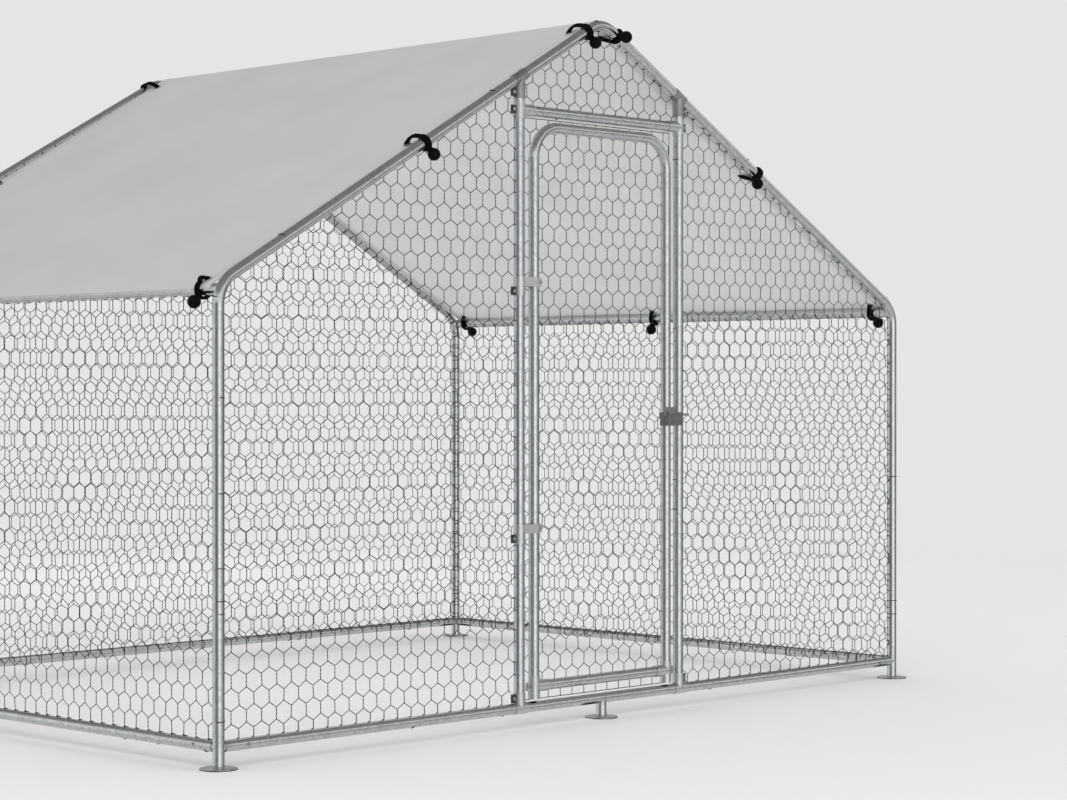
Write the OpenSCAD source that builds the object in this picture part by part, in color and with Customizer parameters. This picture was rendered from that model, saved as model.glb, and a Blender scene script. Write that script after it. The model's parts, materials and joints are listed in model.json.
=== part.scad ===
// Walk-in chicken run: a pitched tube frame on foot plates, hexagonal netting,
// a hinged door with a slide bolt and a taut roof cover tied down with ball cords.
// X runs along the gables, Y from front to rear, Z up from the ground.

/* [Run] */
// Width of the run between the corner post axes
gable_w = 2800; // [2400:10:3200]
// Length of the run between the two gable planes
run_l = 2040; // [1600:10:2600]
// Height at which the post and rafter axes meet
eave_z = 1203; // [1120:1:1280]
// Height at which the two rafter axes meet
ridge_z = 1995; // [1940:1:2080]
// Height of the base rail axes
base_z = 56; // [50:1:66]

/* [Tubes] */
// Outside diameter of every frame and door tube
tube_d = 30; // [27:0.5:32]
// Wall of the tubes
tube_wall = 1.2; // [0.8:0.1:1.8]
// Radius of the eave bends, on the tube axis
eave_bend_r = 90; // [70:1:120]
// Radius of the ridge bends, on the tube axis
ridge_bend_r = 90; // [70:1:110]
// Length of a rail's reduced end inside its neighbour
spigot_l = 85; // [70:1:120]
// Reach of the stubs that the rails slide over, from the post axis
stub_l = 105; // [95:1:140]

/* [Feet] */
// Diameter of the foot plates
foot_d = 95; // [60:1:120]
// Thickness of the foot plates
foot_t = 3; // [2:0.5:5]
// Height of the joint between foot and post above the base rail axis
foot_joint_rise = 26; // [20:1:40]
// Distance of the front rail's joint from the centre line
front_joint_x = 34; // [25:1:80]

/* [Door] */
// Distance of the door posts from the centre line
door_post_x = 336; // [300:1:400]
// Drop of the header axis below the rafter axis at the door posts
header_drop = 89; // [86:1:140]
// Drop of the door's top tube below the header axis
door_head_gap = 41; // [38:1:60]
// Distance from the hinge post axis to the door leg
hinge_gap = 58; // [54:1:66]
// Distance from the latch post axis to the door leg
latch_gap = 56; // [54:1:66]
// Rise of the door leg ends above the base rail axis
door_foot_rise = 21; // [20:1:30]
// Rise of the door's bottom bar above the base rail axis
door_bar_rise = 57; // [57:1:90]
// Radius of the door's top corners, on the tube axis
door_bend_r = 90; // [60:1:130]

/* [Clamps] */
// Sheet thickness of the clamps
clamp_t = 1.5; // [1:0.1:2]
// Length of a clamp's sleeve on the tube that passes through
clamp_sleeve_l = 48; // [40:1:50]
// Reach of a clamp's arm over a cross tube
clamp_arm_l = 52; // [40:1:60]
// Reach of a base clamp's arm up the door post
base_arm_l = 45; // [43:1:52]
// Reach of a top clamp's arm down the door post
top_arm_l = 58; // [56:1:60]
// Width of a clamp's pinched flange
flange_w = 15; // [13:1:17]
// Height of a clamp's pinched flange
flange_h = 24; // [18:1:25]

/* [Hinges and latch] */
// Height of the lower hinge collar
lower_hinge_z = 527; // [300:1:700]
// Height of the upper hinge collar
upper_hinge_z = 1213; // [1000:1:1450]
// Height of the hinge collars and bands
hinge_band_h = 26; // [24:1:34]
// Height of the lower edge of the latch case
latch_z = 834; // [750:1:950]
// Width of the latch case
latch_case_w = 68; // [60:1:74]
// Height of the latch case
latch_case_h = 39; // [32:1:50]
// Diameter of the latch bolt
latch_rod_d = 7; // [5:0.5:8]
// Reach of the latch bolt past the latch post axis
latch_reach = 22; // [18:1:40]

/* [Netting] */
// Width of a mesh of the netting between its upright sides
net_pitch = 150; // [140:1:220]
// Thickness of the netting strands
net_wire = 2; // [1.4:0.1:2.6]

/* [Cover and ties] */
// Thickness of the roof cover
cover_t = 1.5; // [1:0.1:2]
// Gap from a gable rafter to the edge of the cover
cover_edge_gap = 8; // [4:1:20]
// Distance from the cover's gable edge to its eyelets
eyelet_in = 42; // [30:1:60]
// Distance of the eave eyelets up the slope from the eave rail
eave_eyelet_in = 26; // [24:1:40]
// Diameter of the tie balls
tie_ball_d = 33; // [25:1:36]
// Diameter of the tie cord
tie_cord_d = 5; // [4:0.1:5.2]
// Distance of the lower rafter ties from the centre line
tie_low_x = 700; // [500:1:900]
// Distance of the upper rafter ties from the centre line
tie_high_x = 65; // [60:1:70]
// Distance of the corner ties from the gable planes
tie_corner_in = 70; // [60:1:120]

/* [Hidden] */
$fn = 48;

zinc = "#b9bdbf";
clamp_grey = "#8f9598";
latch_grey = "#66696c";
net_grey = "#73787a";
cover_grey = "#c3c3c5";
tie_black = "#17181a";

// Radial clearance of a reduced end inside its tube
fit_gap = 0.6;
// Clearance between a piece and its seat
seat_gap = 0.3;
// Extra length of every cut
overrun = 12;

// Tube sections
tube_r = tube_d / 2;
bore_d = tube_d - 2 * tube_wall;
spigot_d = bore_d - 2 * fit_gap;
spigot_bore_d = spigot_d - 2 * tube_wall;
cope_d = tube_d + 2 * seat_gap;
cope_l = 4 * tube_d;
cope_fn = 120;
rail_start = tube_r + seat_gap;
// Thinning of a bent stretch, and the reach of the straight tube over its end
bend_neck = 0.3;
bend_lap = 3;

// Reduced ends of the posts, the eave bends and the ridge elbows
post_spigot_l = 45;
rafter_spigot_l = 60;
eave_leg_l = 20;
ridge_leg_l = 40;
foot_joint_z = base_z + foot_joint_rise;

// Gable lines
slope = atan2(ridge_z - eave_z, gable_w / 2);
slope_l = gable_w / 2 / cos(slope);
eave_turn = 90 - slope;
eave_tangent = eave_bend_r * tan(eave_turn / 2);
eave_bend_z = eave_z - eave_tangent;
ridge_tangent = ridge_bend_r * tan(slope);
ridge_centre_z = ridge_z - ridge_bend_r / cos(slope);
ridge_tube_z = ridge_centre_z + ridge_bend_r;
rafter_l = slope_l - eave_tangent - eave_leg_l - ridge_tangent - ridge_leg_l - 2 * seat_gap;
function rafter_z(x, inset = 0) = ridge_z - abs(x) * tan(slope) - inset / cos(slope);

// The eave rail meets the eave bend at this share of its turn
eave_rail_turn_share = 0.43;
eave_rail_turn = eave_turn * eave_rail_turn_share;
eave_rail_in = eave_bend_r * (1 - cos(eave_rail_turn));
eave_rail_x = gable_w / 2 - eave_rail_in;
eave_rail_z = eave_bend_z + eave_bend_r * sin(eave_rail_turn);

// Joint screws: places along the rails and sizes
rail_screw_x = 85;
joint_screws = [10, 60];
screw_d = 4.4;
screw_hole_d = 5;
screw_head_d = 9;
screw_head_h = 3;
screw_l = 6;

// Clamp sections and their bolts
clamp_bore_d = tube_d + 2 * seat_gap;
clamp_d = clamp_bore_d + 2 * clamp_t;
flange_slit = 1;
flange_t = 2 * clamp_t + flange_slit;
flange_bolt_x = clamp_d / 2 + flange_w / 2;
bolt_d = 5.4;
bolt_hole_d = 6;
bolt_head_d = 10;
bolt_head_h = 4;
base_flange_rise = clamp_d / 2 + flange_h / 2;
top_flange_end = 4;
top_flange_drop = top_arm_l - top_flange_end - flange_h / 2;
door_sleeve_below = 35;
door_sleeve_above = 29;

// Door lines
header_z = rafter_z(door_post_x) - header_drop;
door_left = hinge_gap - door_post_x;
door_right = door_post_x - latch_gap;
door_top_z = header_z - door_head_gap;
door_foot_z = base_z + door_foot_rise;
door_bar_z = base_z + door_bar_rise;
hinge_heights = [lower_hinge_z, upper_hinge_z];
loop_gap = 0.8;
loop_bore_d = tube_d + 2 * loop_gap;
loop_d = loop_bore_d + 2 * clamp_t;

// Latch: the case stands on the front of the door leg, and the bolt runs through it
latch_stand = 0.8;
latch_case_t = 11;
latch_case_left = 20;
latch_gap_fit = 0.5;
latch_rod_drop = 7;
latch_tail = 7;
latch_plate_w = 55;
latch_plate_h = 15;
latch_plate_t = 4;
latch_plate_gap = 0.6;
latch_rod_y = -(tube_r + latch_stand + latch_case_t / 2);
latch_top_z = latch_z + latch_case_h;
latch_rod_z = latch_top_z - latch_rod_drop;
latch_case_x = door_right - latch_case_left;

// Netting lines
arc_steps = 5;
net_row = net_pitch * sqrt(3) / 2;
front_inset = clamp_d / 2 + seat_gap;
plain_inset = tube_r + seat_gap;
net_clear = 1;
door_net_margin = 36;
door_net_head = 20;
door_net_y = loop_d / 2 + seat_gap + net_wire / 2;

// Roof cover
cover_slope = atan2(ridge_tube_z - eave_rail_z, eave_rail_x);
cover_r = tube_r + seat_gap;
cover_l = run_l - tube_d - 2 * cover_edge_gap;
cover_mid_r = cover_r + cover_t / 2;
cover_steps = 7;
// Height of the cover's middle above the rafter axis, square to the slope
function cover_lift(x) =
    cover_mid_r + (ridge_tube_z - rafter_z(x)) * cos(cover_slope) - x * sin(cover_slope);

// Eyelets and ties
eyelet_d = 22;
eyelet_t = 0.6;
eyelet_gap = 0.2;
eyelet_wall = 0.6;
eyelet_bore_d = 12.4;
tie_gap = 0.4;
tie_cord_gap = 0.5;
tie_pitch = tie_cord_d + tie_cord_gap;
tie_eye_r = tie_cord_d / 2 + cover_t / 2 + eyelet_gap + eyelet_t + tie_gap;
rafter_turn_r = tube_r + tie_gap + tie_cord_d / 2;
eave_turn_r = cover_r + cover_t + tie_gap + tie_cord_d / 2;
rafter_eye_in = tube_r + cover_edge_gap + eyelet_in;
tie_ball_gap = 0.5;
function ball_reach(turn_r) = turn_r + tie_cord_d / 2 + tie_ball_d / 2 + tie_ball_gap;
rafter_ball_turn = 60;
// The eave balls hang against the wall netting
eave_ball_out = eave_rail_in + net_wire / 2 + tie_ball_gap + tie_ball_d / 2;
eave_ball_turn = acos(eave_ball_out / ball_reach(eave_turn_r)) - cover_slope;
tie_turn_steps = 10;
tie_eye_steps = 3;
tie_sides = 6;
tie_notch_w = tie_pitch + tie_cord_d + 2 * net_clear;
eave_tie_shares = [-1, 0, 1];

// Shared placing
module corner(side, end)
    translate([side * gable_w / 2, end * run_l / 2, 0])
        mirror([side > 0 ? 1 : 0, 0, 0])
            mirror([0, end > 0 ? 1 : 0, 0])
                children();

module gable(end)
    translate([0, end * run_l / 2, 0])
        mirror([0, end > 0 ? 1 : 0, 0])
            children();

module both_sides() {
    children();
    mirror([1, 0, 0]) children();
}

module swap_xy() mirror([1, -1, 0]) children();

module swap_xz() mirror([1, 0, -1]) children();

// Round bar along Z between two heights
module bar(low, high, d) translate([0, 0, low]) cylinder(d = d, h = high - low);

// Station on an arc in the XZ plane about the origin: angle 0 is on the -X side, heading up
module station(r, angle) rotate([0, angle, 0]) translate([-r, 0, 0]) children();

// Round bar bent about the origin from one station angle to another, drawn a little thinner by the bending
module bend(r, from, to, d)
    rotate([90, 0, 0])
        rotate(180 - to)
            rotate_extrude(angle = to - from)
                translate([r, 0]) circle(d = d - 2 * bend_neck);

// Tube along Z from 0, with a reduced end past its top where a spigot length is given
module tube(l, spigot = 0) {
    difference() {
        union() {
            bar(0, l, tube_d);
            if (spigot > 0) bar(l - tube_wall, l + spigot, spigot_d);
        }
        if (spigot > 0) {
            bar(-overrun, l - tube_wall, bore_d);
            bar(0, l + spigot + overrun, spigot_bore_d);
        } else {
            bar(-overrun, l + overrun, bore_d);
        }
    }
}

// Cut that fits the end of a tube to a tube crossing along Z
module cope() cylinder(d = cope_d, h = cope_l, center = true);

// Screws face -Y on a tube along X
module screw_hole() rotate([90, 0, 0]) cylinder(d = screw_hole_d, h = tube_d);

module screw()
    rotate([90, 0, 0]) {
        bar(tube_r - screw_l, tube_r + seat_gap + screw_head_h / 2, screw_d);
        bar(tube_r + seat_gap, tube_r + seat_gap + screw_head_h, screw_head_d);
    }

// Feet
module rail_stub() rotate([0, 90, 0]) bar(0, stub_l, spigot_d);

module rail_stub_bore() {
    rotate([0, 90, 0]) bar(tube_r, stub_l + overrun, spigot_bore_d);
    translate([rail_screw_x, 0, 0]) screw_hole();
}

module corner_foot()
    difference() {
        union() {
            cylinder(d = foot_d, h = foot_t);
            bar(0, foot_joint_z, tube_d);
            translate([0, 0, base_z]) {
                rail_stub();
                swap_xy() rail_stub();
            }
        }
        bar(foot_t, foot_joint_z + overrun, bore_d);
        translate([0, 0, base_z]) {
            rail_stub_bore();
            swap_xy() rail_stub_bore();
        }
    }

module front_left_corner_foot() color(zinc) corner(-1, -1) corner_foot();
module front_right_corner_foot() color(zinc) corner(1, -1) corner_foot();
module rear_left_corner_foot() color(zinc) corner(-1, 1) corner_foot();
module rear_right_corner_foot() color(zinc) corner(1, 1) corner_foot();

module front_mid_foot()
    color(zinc)
        gable(-1)
            difference() {
                union() {
                    cylinder(d = foot_d, h = foot_t);
                    bar(0, base_z, tube_d);
                }
                bar(foot_t, base_z + overrun, bore_d);
                translate([0, 0, base_z]) rotate([0, 90, 0]) cope();
            }

// Corner posts: upright, eave bend and the first length of the rafter line
module at_eave_bend() translate([eave_bend_r, 0, eave_bend_z]) children();

module post_top() at_eave_bend() station(eave_bend_r, 0) children();

module eave_leg() at_eave_bend() station(eave_bend_r, eave_turn) children();

module eave_bend(d) at_eave_bend() bend(eave_bend_r, 0, eave_turn, d);

module eave_rail_axis()
    translate([eave_rail_in, 0, eave_rail_z])
        rotate([-90, 0, 0])
            children();

module post_form(d, trim = 0) {
    post_top() bar(foot_joint_z + seat_gap + trim - eave_bend_z, bend_lap, d);
    eave_bend(d);
    eave_leg() bar(-bend_lap, eave_leg_l - trim, d);
}

module corner_post()
    difference() {
        union() {
            post_form(tube_d);
            bar(foot_joint_z - post_spigot_l, foot_joint_z + seat_gap + tube_wall, spigot_d);
            eave_leg() bar(eave_leg_l - tube_wall, eave_leg_l + rafter_spigot_l, spigot_d);
            eave_rail_axis() bar(0, stub_l, spigot_d);
        }
        post_form(bore_d, tube_wall);
        bar(foot_joint_z - post_spigot_l - overrun, eave_bend_z, spigot_bore_d);
        eave_leg() bar(0, eave_leg_l + rafter_spigot_l + overrun, spigot_bore_d);
        eave_rail_axis() bar(tube_r, stub_l + overrun, spigot_bore_d);
    }

module front_left_corner_post() color(zinc) corner(-1, -1) corner_post();
module front_right_corner_post() color(zinc) corner(1, -1) corner_post();
module rear_left_corner_post() color(zinc) corner(-1, 1) corner_post();
module rear_right_corner_post() color(zinc) corner(1, 1) corner_post();

// Rafters and ridge
module rafter() eave_leg() translate([0, 0, eave_leg_l + seat_gap]) tube(rafter_l);

module front_left_rafter() color(zinc) corner(-1, -1) rafter();
module front_right_rafter() color(zinc) corner(1, -1) rafter();
module rear_left_rafter() color(zinc) corner(-1, 1) rafter();
module rear_right_rafter() color(zinc) corner(1, 1) rafter();

module at_ridge_bend() translate([0, 0, ridge_centre_z]) children();

module ridge_leg() at_ridge_bend() station(ridge_bend_r, 90 - slope) mirror([0, 0, 1]) children();

module ridge_bend(d) at_ridge_bend() bend(ridge_bend_r, 90 - slope, 90 + slope, d);

module elbow_form(d, trim = 0) {
    ridge_bend(d);
    both_sides() ridge_leg() bar(-bend_lap, ridge_leg_l - trim, d);
}

module ridge_axis() translate([0, 0, ridge_tube_z]) rotate([-90, 0, 0]) children();

module ridge_elbow()
    difference() {
        union() {
            elbow_form(tube_d);
            both_sides() ridge_leg() bar(ridge_leg_l - tube_wall, ridge_leg_l + rafter_spigot_l, spigot_d);
            ridge_axis() bar(0, stub_l, spigot_d);
        }
        elbow_form(bore_d, tube_wall);
        both_sides() ridge_leg() bar(0, ridge_leg_l + rafter_spigot_l + overrun, spigot_bore_d);
        ridge_axis() bar(tube_r, stub_l + overrun, spigot_bore_d);
    }

module ridge_half(l, spigot = 0)
    difference() {
        ridge_axis() tube(l, spigot);
        ridge_bend(cope_d);
    }

module front_ridge_elbow() color(zinc) gable(-1) ridge_elbow();
module rear_ridge_elbow() color(zinc) gable(1) ridge_elbow();
module ridge_tube_front() color(zinc) gable(-1) ridge_half(run_l / 2);
module ridge_tube_rear() color(zinc) gable(1) ridge_half(run_l / 2 - seat_gap, spigot_l);

// Eave rails: two lengths a side, screwed together at mid-length on the inner side
module eave_screw_place(y) translate([eave_rail_in, y, eave_rail_z]) rotate(90) children();

module eave_rail(l, way, spigot = 0)
    difference() {
        eave_rail_axis() tube(l, spigot);
        eave_bend(cope_d, $fn = cope_fn);
        for (s = joint_screws) eave_screw_place(run_l / 2 + way * s) screw_hole();
    }

module front_eave_rail() eave_rail(run_l / 2, -1);
module rear_eave_rail() eave_rail(run_l / 2 - seat_gap, 1, spigot_l);

module left_eave_rail_front() color(zinc) corner(-1, -1) front_eave_rail();
module left_eave_rail_rear() color(zinc) corner(-1, 1) rear_eave_rail();
module right_eave_rail_front() color(zinc) corner(1, -1) front_eave_rail();
module right_eave_rail_rear() color(zinc) corner(1, 1) rear_eave_rail();

// Base rails: they slide over the stubs of the corner feet, and their square ends meet the uprights.
// The length is measured from the axis of the upright.
module base_rail(l, spigot = 0)
    translate([0, 0, base_z])
        difference() {
            translate([rail_start, 0, 0]) rotate([0, 90, 0]) tube(l - rail_start, spigot);
            translate([rail_screw_x, 0, 0]) screw_hole();
        }

module left_base_rail_front() color(zinc) corner(-1, -1) swap_xy() base_rail(run_l / 2);
module left_base_rail_rear() color(zinc) corner(-1, 1) swap_xy() base_rail(run_l / 2 - seat_gap, spigot_l);
module right_base_rail_front() color(zinc) corner(1, -1) swap_xy() base_rail(run_l / 2);
module right_base_rail_rear() color(zinc) corner(1, 1) swap_xy() base_rail(run_l / 2 - seat_gap, spigot_l);
module front_base_rail_left() color(zinc) corner(-1, -1) base_rail(gable_w / 2 + front_joint_x);
module front_base_rail_right()
    color(zinc) corner(1, -1) base_rail(gable_w / 2 - front_joint_x - seat_gap, spigot_l);
module rear_base_rail_left() color(zinc) corner(-1, 1) base_rail(gable_w / 2);
module rear_base_rail_right() color(zinc) corner(1, 1) base_rail(gable_w / 2 - seat_gap, spigot_l);

// Door posts and header
module hinge_side() translate([-door_post_x, -run_l / 2, 0]) children();
module latch_side() mirror([1, 0, 0]) hinge_side() children();

module rafter_crossing() translate([0, 0, rafter_z(door_post_x)]) children();

module along_rafter() rotate([0, 90 - slope, 0]) children();

module door_post()
    difference() {
        bar(base_z, rafter_z(door_post_x), tube_d);
        bar(base_z - overrun, rafter_z(door_post_x) + overrun, bore_d);
        translate([0, 0, base_z]) rotate([0, 90, 0]) cope();
        rafter_crossing() along_rafter() cope();
    }

module hinge_post() color(zinc) hinge_side() door_post();
module latch_post() color(zinc) latch_side() door_post();

// Tube along X between two uprights, coped to both
module cross_tube(left, right)
    difference() {
        rotate([0, 90, 0]) bar(left, right, tube_d);
        rotate([0, 90, 0]) bar(left - overrun, right + overrun, bore_d);
        translate([left, 0, 0]) cope();
        translate([right, 0, 0]) cope();
    }

module door_header()
    color(zinc) gable(-1) translate([0, 0, header_z]) cross_tube(-door_post_x, door_post_x);

// Clamps: a sheet sleeve on one tube, an arm over another, pinched by a bolted flange.
// The flange stands out along -X from a sleeve along Z.
module flange()
    translate([-clamp_d / 2 - flange_w, -flange_t / 2, -flange_h / 2])
        cube([flange_w + clamp_d / 2, flange_t, flange_h]);

module flange_cut() {
    translate([-clamp_d / 2 - flange_w - overrun, -flange_slit / 2, -flange_h / 2 - overrun])
        cube([flange_w + clamp_d / 2 + overrun, flange_slit, flange_h + 2 * overrun]);
    translate([-flange_bolt_x, 0, 0])
        rotate([90, 0, 0])
            cylinder(d = bolt_hole_d, h = flange_t + 2 * overrun, center = true);
}

module flange_bolt()
    translate([-flange_bolt_x, 0, 0])
        rotate([90, 0, 0]) {
            bolt_end = flange_t / 2 + seat_gap;
            bar(-bolt_end - bolt_head_h / 2, bolt_end + bolt_head_h / 2, bolt_d);
            bar(bolt_end, bolt_end + bolt_head_h, bolt_head_d);
            translate([0, 0, -bolt_end - bolt_head_h]) cylinder(d = bolt_head_d, h = bolt_head_h, $fn = 6);
        }

// Clamp with its sleeve along Z, its arm along +X and its flange opposite the arm
module tee_clamp(below, above)
    difference() {
        union() {
            bar(-below, above, clamp_d);
            rotate([0, 90, 0]) bar(0, clamp_arm_l, clamp_d);
            flange();
        }
        bar(-below - overrun, above + overrun, clamp_bore_d);
        rotate([0, 90, 0]) bar(0, clamp_arm_l + overrun, clamp_bore_d);
        flange_cut();
    }

module header_clamp_places() {
    hinge_side() translate([0, 0, header_z]) children();
    latch_side() translate([0, 0, header_z]) children();
}

module header_clamps()
    color(clamp_grey) header_clamp_places() tee_clamp(clamp_sleeve_l / 2, clamp_sleeve_l / 2);

// Clamp with its sleeve on the base rail, its arm up the post and its flange on the post's outer side
module base_flange_place() translate([0, 0, base_z + base_flange_rise]) children();

module base_clamp()
    difference() {
        union() {
            translate([0, 0, base_z]) swap_xz() bar(-clamp_sleeve_l / 2, clamp_sleeve_l / 2, clamp_d);
            bar(base_z, base_z + base_arm_l, clamp_d);
            base_flange_place() flange();
        }
        translate([0, 0, base_z])
            swap_xz() bar(-clamp_sleeve_l / 2 - overrun, clamp_sleeve_l / 2 + overrun, clamp_bore_d);
        bar(base_z, base_z + base_arm_l + overrun, clamp_bore_d);
        base_flange_place() flange_cut();
    }

module post_base_clamps() {
    color(clamp_grey) hinge_side() base_clamp();
    color(clamp_grey) latch_side() base_clamp();
}

// Clamp with its sleeve on the rafter, its arm down the post and its flange on the post's outer side
module top_flange_place() rafter_crossing() translate([0, 0, -top_flange_drop]) children();

module top_clamp()
    difference() {
        union() {
            rafter_crossing() {
                along_rafter() bar(-clamp_sleeve_l / 2, clamp_sleeve_l / 2, clamp_d);
                bar(-top_arm_l, 0, clamp_d);
            }
            top_flange_place() flange();
        }
        rafter_crossing() {
            along_rafter() cope();
            bar(-top_arm_l - overrun, 0, clamp_bore_d);
        }
        top_flange_place() flange_cut();
    }

module hinge_post_top_clamp() color(clamp_grey) hinge_side() top_clamp();
module latch_post_top_clamp() color(clamp_grey) latch_side() top_clamp();

// Hinges: a collar fixed on the post carries a band that wraps post and door leg
module hinge_collar()
    difference() {
        union() {
            bar(-hinge_band_h / 2, hinge_band_h / 2, clamp_d);
            flange();
        }
        bar(-hinge_band_h / 2 - overrun, hinge_band_h / 2 + overrun, clamp_bore_d);
        flange_cut();
    }

module collar_place(z) hinge_side() translate([0, 0, z]) children();

module upper_hinge_collar() color(clamp_grey) collar_place(upper_hinge_z) hinge_collar();
module lower_hinge_collar() color(clamp_grey) collar_place(lower_hinge_z) hinge_collar();

module band_place(z) collar_place(z) translate([0, 0, hinge_band_h + seat_gap]) children();

module at_door_leg() translate([hinge_gap, 0, 0]) rotate(180) children();

module hinge_band() {
    low = -hinge_band_h / 2;
    high = hinge_band_h / 2;
    difference() {
        union() {
            bar(low, high, loop_d);
            translate([0, -clamp_d / 2, low]) cube([hinge_gap, clamp_d, hinge_band_h]);
            at_door_leg() {
                bar(low, high, clamp_d);
                flange();
            }
        }
        bar(low - overrun, high + overrun, loop_bore_d);
        translate([0, -clamp_bore_d / 2, low - overrun])
            cube([hinge_gap, clamp_bore_d, hinge_band_h + 2 * overrun]);
        at_door_leg() {
            bar(low - overrun, high + overrun, clamp_bore_d);
            flange_cut();
        }
    }
}

module upper_hinge_band() color(clamp_grey) band_place(upper_hinge_z) hinge_band();
module lower_hinge_band() color(clamp_grey) band_place(lower_hinge_z) hinge_band();

// Door: one tube bent to an arch, a bottom bar and its clamps
module door_leg_places() {
    gable(-1) translate([door_left, 0, 0]) children();
    gable(-1) translate([door_right, 0, 0]) mirror([1, 0, 0]) children();
}

module door_form(d, below = 0) {
    bend_z = door_top_z - door_bend_r;
    door_leg_places()
        translate([door_bend_r, 0, bend_z]) {
            station(door_bend_r, 0) bar(door_foot_z - below - bend_z, bend_lap, d);
            bend(door_bend_r, 0, 90, d);
        }
    gable(-1)
        translate([0, 0, door_top_z])
            rotate([0, 90, 0])
                bar(door_left + door_bend_r - bend_lap, door_right - door_bend_r + bend_lap, d);
}

module door_frame()
    color(zinc)
        difference() {
            door_form(tube_d);
            door_form(bore_d, overrun);
        }

module door_bottom_bar()
    color(zinc) gable(-1) translate([0, 0, door_bar_z]) cross_tube(door_left, door_right);

module door_clamp_places() door_leg_places() translate([0, 0, door_bar_z]) children();

module door_bar_clamps()
    color(clamp_grey) door_clamp_places() tee_clamp(door_sleeve_below, door_sleeve_above);

// Latch
module latch_case()
    color(latch_grey)
        gable(-1)
            difference() {
                union() {
                    translate([door_right, 0, 0]) bar(latch_z, latch_top_z, clamp_d);
                    translate([latch_case_x, latch_rod_y - latch_case_t / 2, latch_z])
                        cube([latch_case_w, latch_case_t, latch_case_h]);
                }
                translate([door_right, 0, 0]) bar(latch_z - overrun, latch_top_z + overrun, clamp_bore_d);
                translate([latch_case_x, latch_rod_y, latch_rod_z])
                    rotate([0, 90, 0])
                        bar(-overrun, latch_case_w + overrun, latch_rod_d + 2 * latch_gap_fit);
            }

// Bolt: a rod with a tail turned up to a thumb plate that rides over the case
module latch_bolt() {
    tail_x = latch_case_x - latch_plate_gap - latch_tail;
    plate_z = latch_top_z + latch_plate_gap;
    color(latch_grey)
        gable(-1)
            translate([0, latch_rod_y, 0]) {
                translate([0, 0, latch_rod_z])
                    rotate([0, 90, 0])
                        bar(tail_x, door_post_x + latch_reach, latch_rod_d);
                translate([tail_x, -latch_plate_t / 2, latch_rod_z])
                    cube([latch_tail, latch_plate_t, plate_z + latch_plate_h - latch_rod_z]);
                translate([tail_x, -latch_plate_t / 2, plate_z])
                    cube([latch_plate_w, latch_plate_t, latch_plate_h]);
            }
}

// Netting: six-sided meshes with upright sides, inside a border strand
module meshes(low, high) {
    first_row = floor(low[1] / net_row);
    first_mesh = floor(low[0] / net_pitch) - 1;
    for (j = [first_row : ceil(high[1] / net_row)])
        for (i = [first_mesh : ceil(high[0] / net_pitch)])
            translate([(i + (j % 2 == 0 ? 0 : 1 / 2)) * net_pitch, j * net_row])
                rotate(30)
                    circle(r = (net_pitch - net_wire) / sqrt(3), $fn = 6);
}

// Notches grown by a margin
module notches(grow) {
    $grow = grow;
    children();
}

// Net in the XZ plane from an outer and an inner border, less the notches given as children.
// The border strand runs round the notches too.
module net(outer, inner) {
    xs = [for (p = outer) p[0]];
    zs = [for (p = outer) p[1]];
    rotate([90, 0, 0])
        linear_extrude(height = net_wire, center = true)
            difference() {
                polygon(outer);
                notches(0) children();
                difference() {
                    intersection() {
                        polygon(inner);
                        meshes([min(xs), min(zs)], [max(xs), max(zs)]);
                    }
                    notches(net_wire) children();
                }
            }
}

function eave_arc(side, inset) = [
    for (i = [0 : arc_steps])
        let (a = 180 - eave_turn * i / arc_steps, r = eave_bend_r - inset)
            [side * (gable_w / 2 - eave_bend_r - r * cos(a)), eave_bend_z + r * sin(a)]
];

function ridge_arc(inset) = [
    for (i = [0 : arc_steps])
        let (a = 90 - slope + 2 * slope * i / arc_steps, r = ridge_bend_r - inset)
            [r * cos(a), ridge_centre_z + r * sin(a)]
];

function backwards(points) = [for (i = [len(points) - 1 : -1 : 0]) points[i]];

function rear_outline(inset) = concat(
    [[inset - gable_w / 2, base_z + inset], [gable_w / 2 - inset, base_z + inset]],
    eave_arc(1, inset), ridge_arc(inset), backwards(eave_arc(-1, inset)));

// Outline beside the door on the hinge side
function front_outline(inset) =
    let (x = -door_post_x - inset)
        concat([[inset - gable_w / 2, base_z + inset], [x, base_z + inset], [x, rafter_z(x, inset)]],
            backwards(eave_arc(-1, inset)));

function transom_outline(inset) =
    let (x = door_post_x - inset)
        concat([[-x, header_z + inset], [x, header_z + inset], [x, rafter_z(x, inset)]],
            ridge_arc(inset), [[-x, rafter_z(x, inset)]]);

function box_outline(x0, x1, z0, z1, inset) =
    [[x0 + inset, z0 + inset], [x1 - inset, z0 + inset], [x1 - inset, z1 - inset], [x0 + inset, z1 - inset]];

function wall_outline(inset) = box_outline(-run_l / 2, run_l / 2, base_z, eave_rail_z, inset);

function door_outline(inset) = box_outline(door_left - door_net_margin, door_right + door_net_margin,
    door_foot_z, door_top_z + door_net_head, inset);

// Notch on the outer side of the hinge post for the flanges and bands between two heights
module flange_notch(low, high) {
    edge = net_clear + $grow;
    translate([-door_post_x - clamp_d / 2 - flange_w - edge, low - edge])
        square([flange_w + clamp_d / 2 + $grow, high - low + 2 * edge]);
}

// Notch for a tie cord round the rafter at a distance from the centre line, on the left
module rafter_notch(x) {
    depth = rafter_turn_r + tie_cord_d / 2 + net_clear + $grow;
    translate([-x, rafter_z(x)])
        rotate(cover_slope)
            square([tie_notch_w + 2 * $grow, 2 * depth], center = true);
}

module eave_notch(y) {
    depth = eave_turn_r + tie_cord_d / 2 + net_clear + $grow;
    translate([y, eave_rail_z]) square([tie_notch_w + 2 * $grow, 2 * depth], center = true);
}

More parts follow.
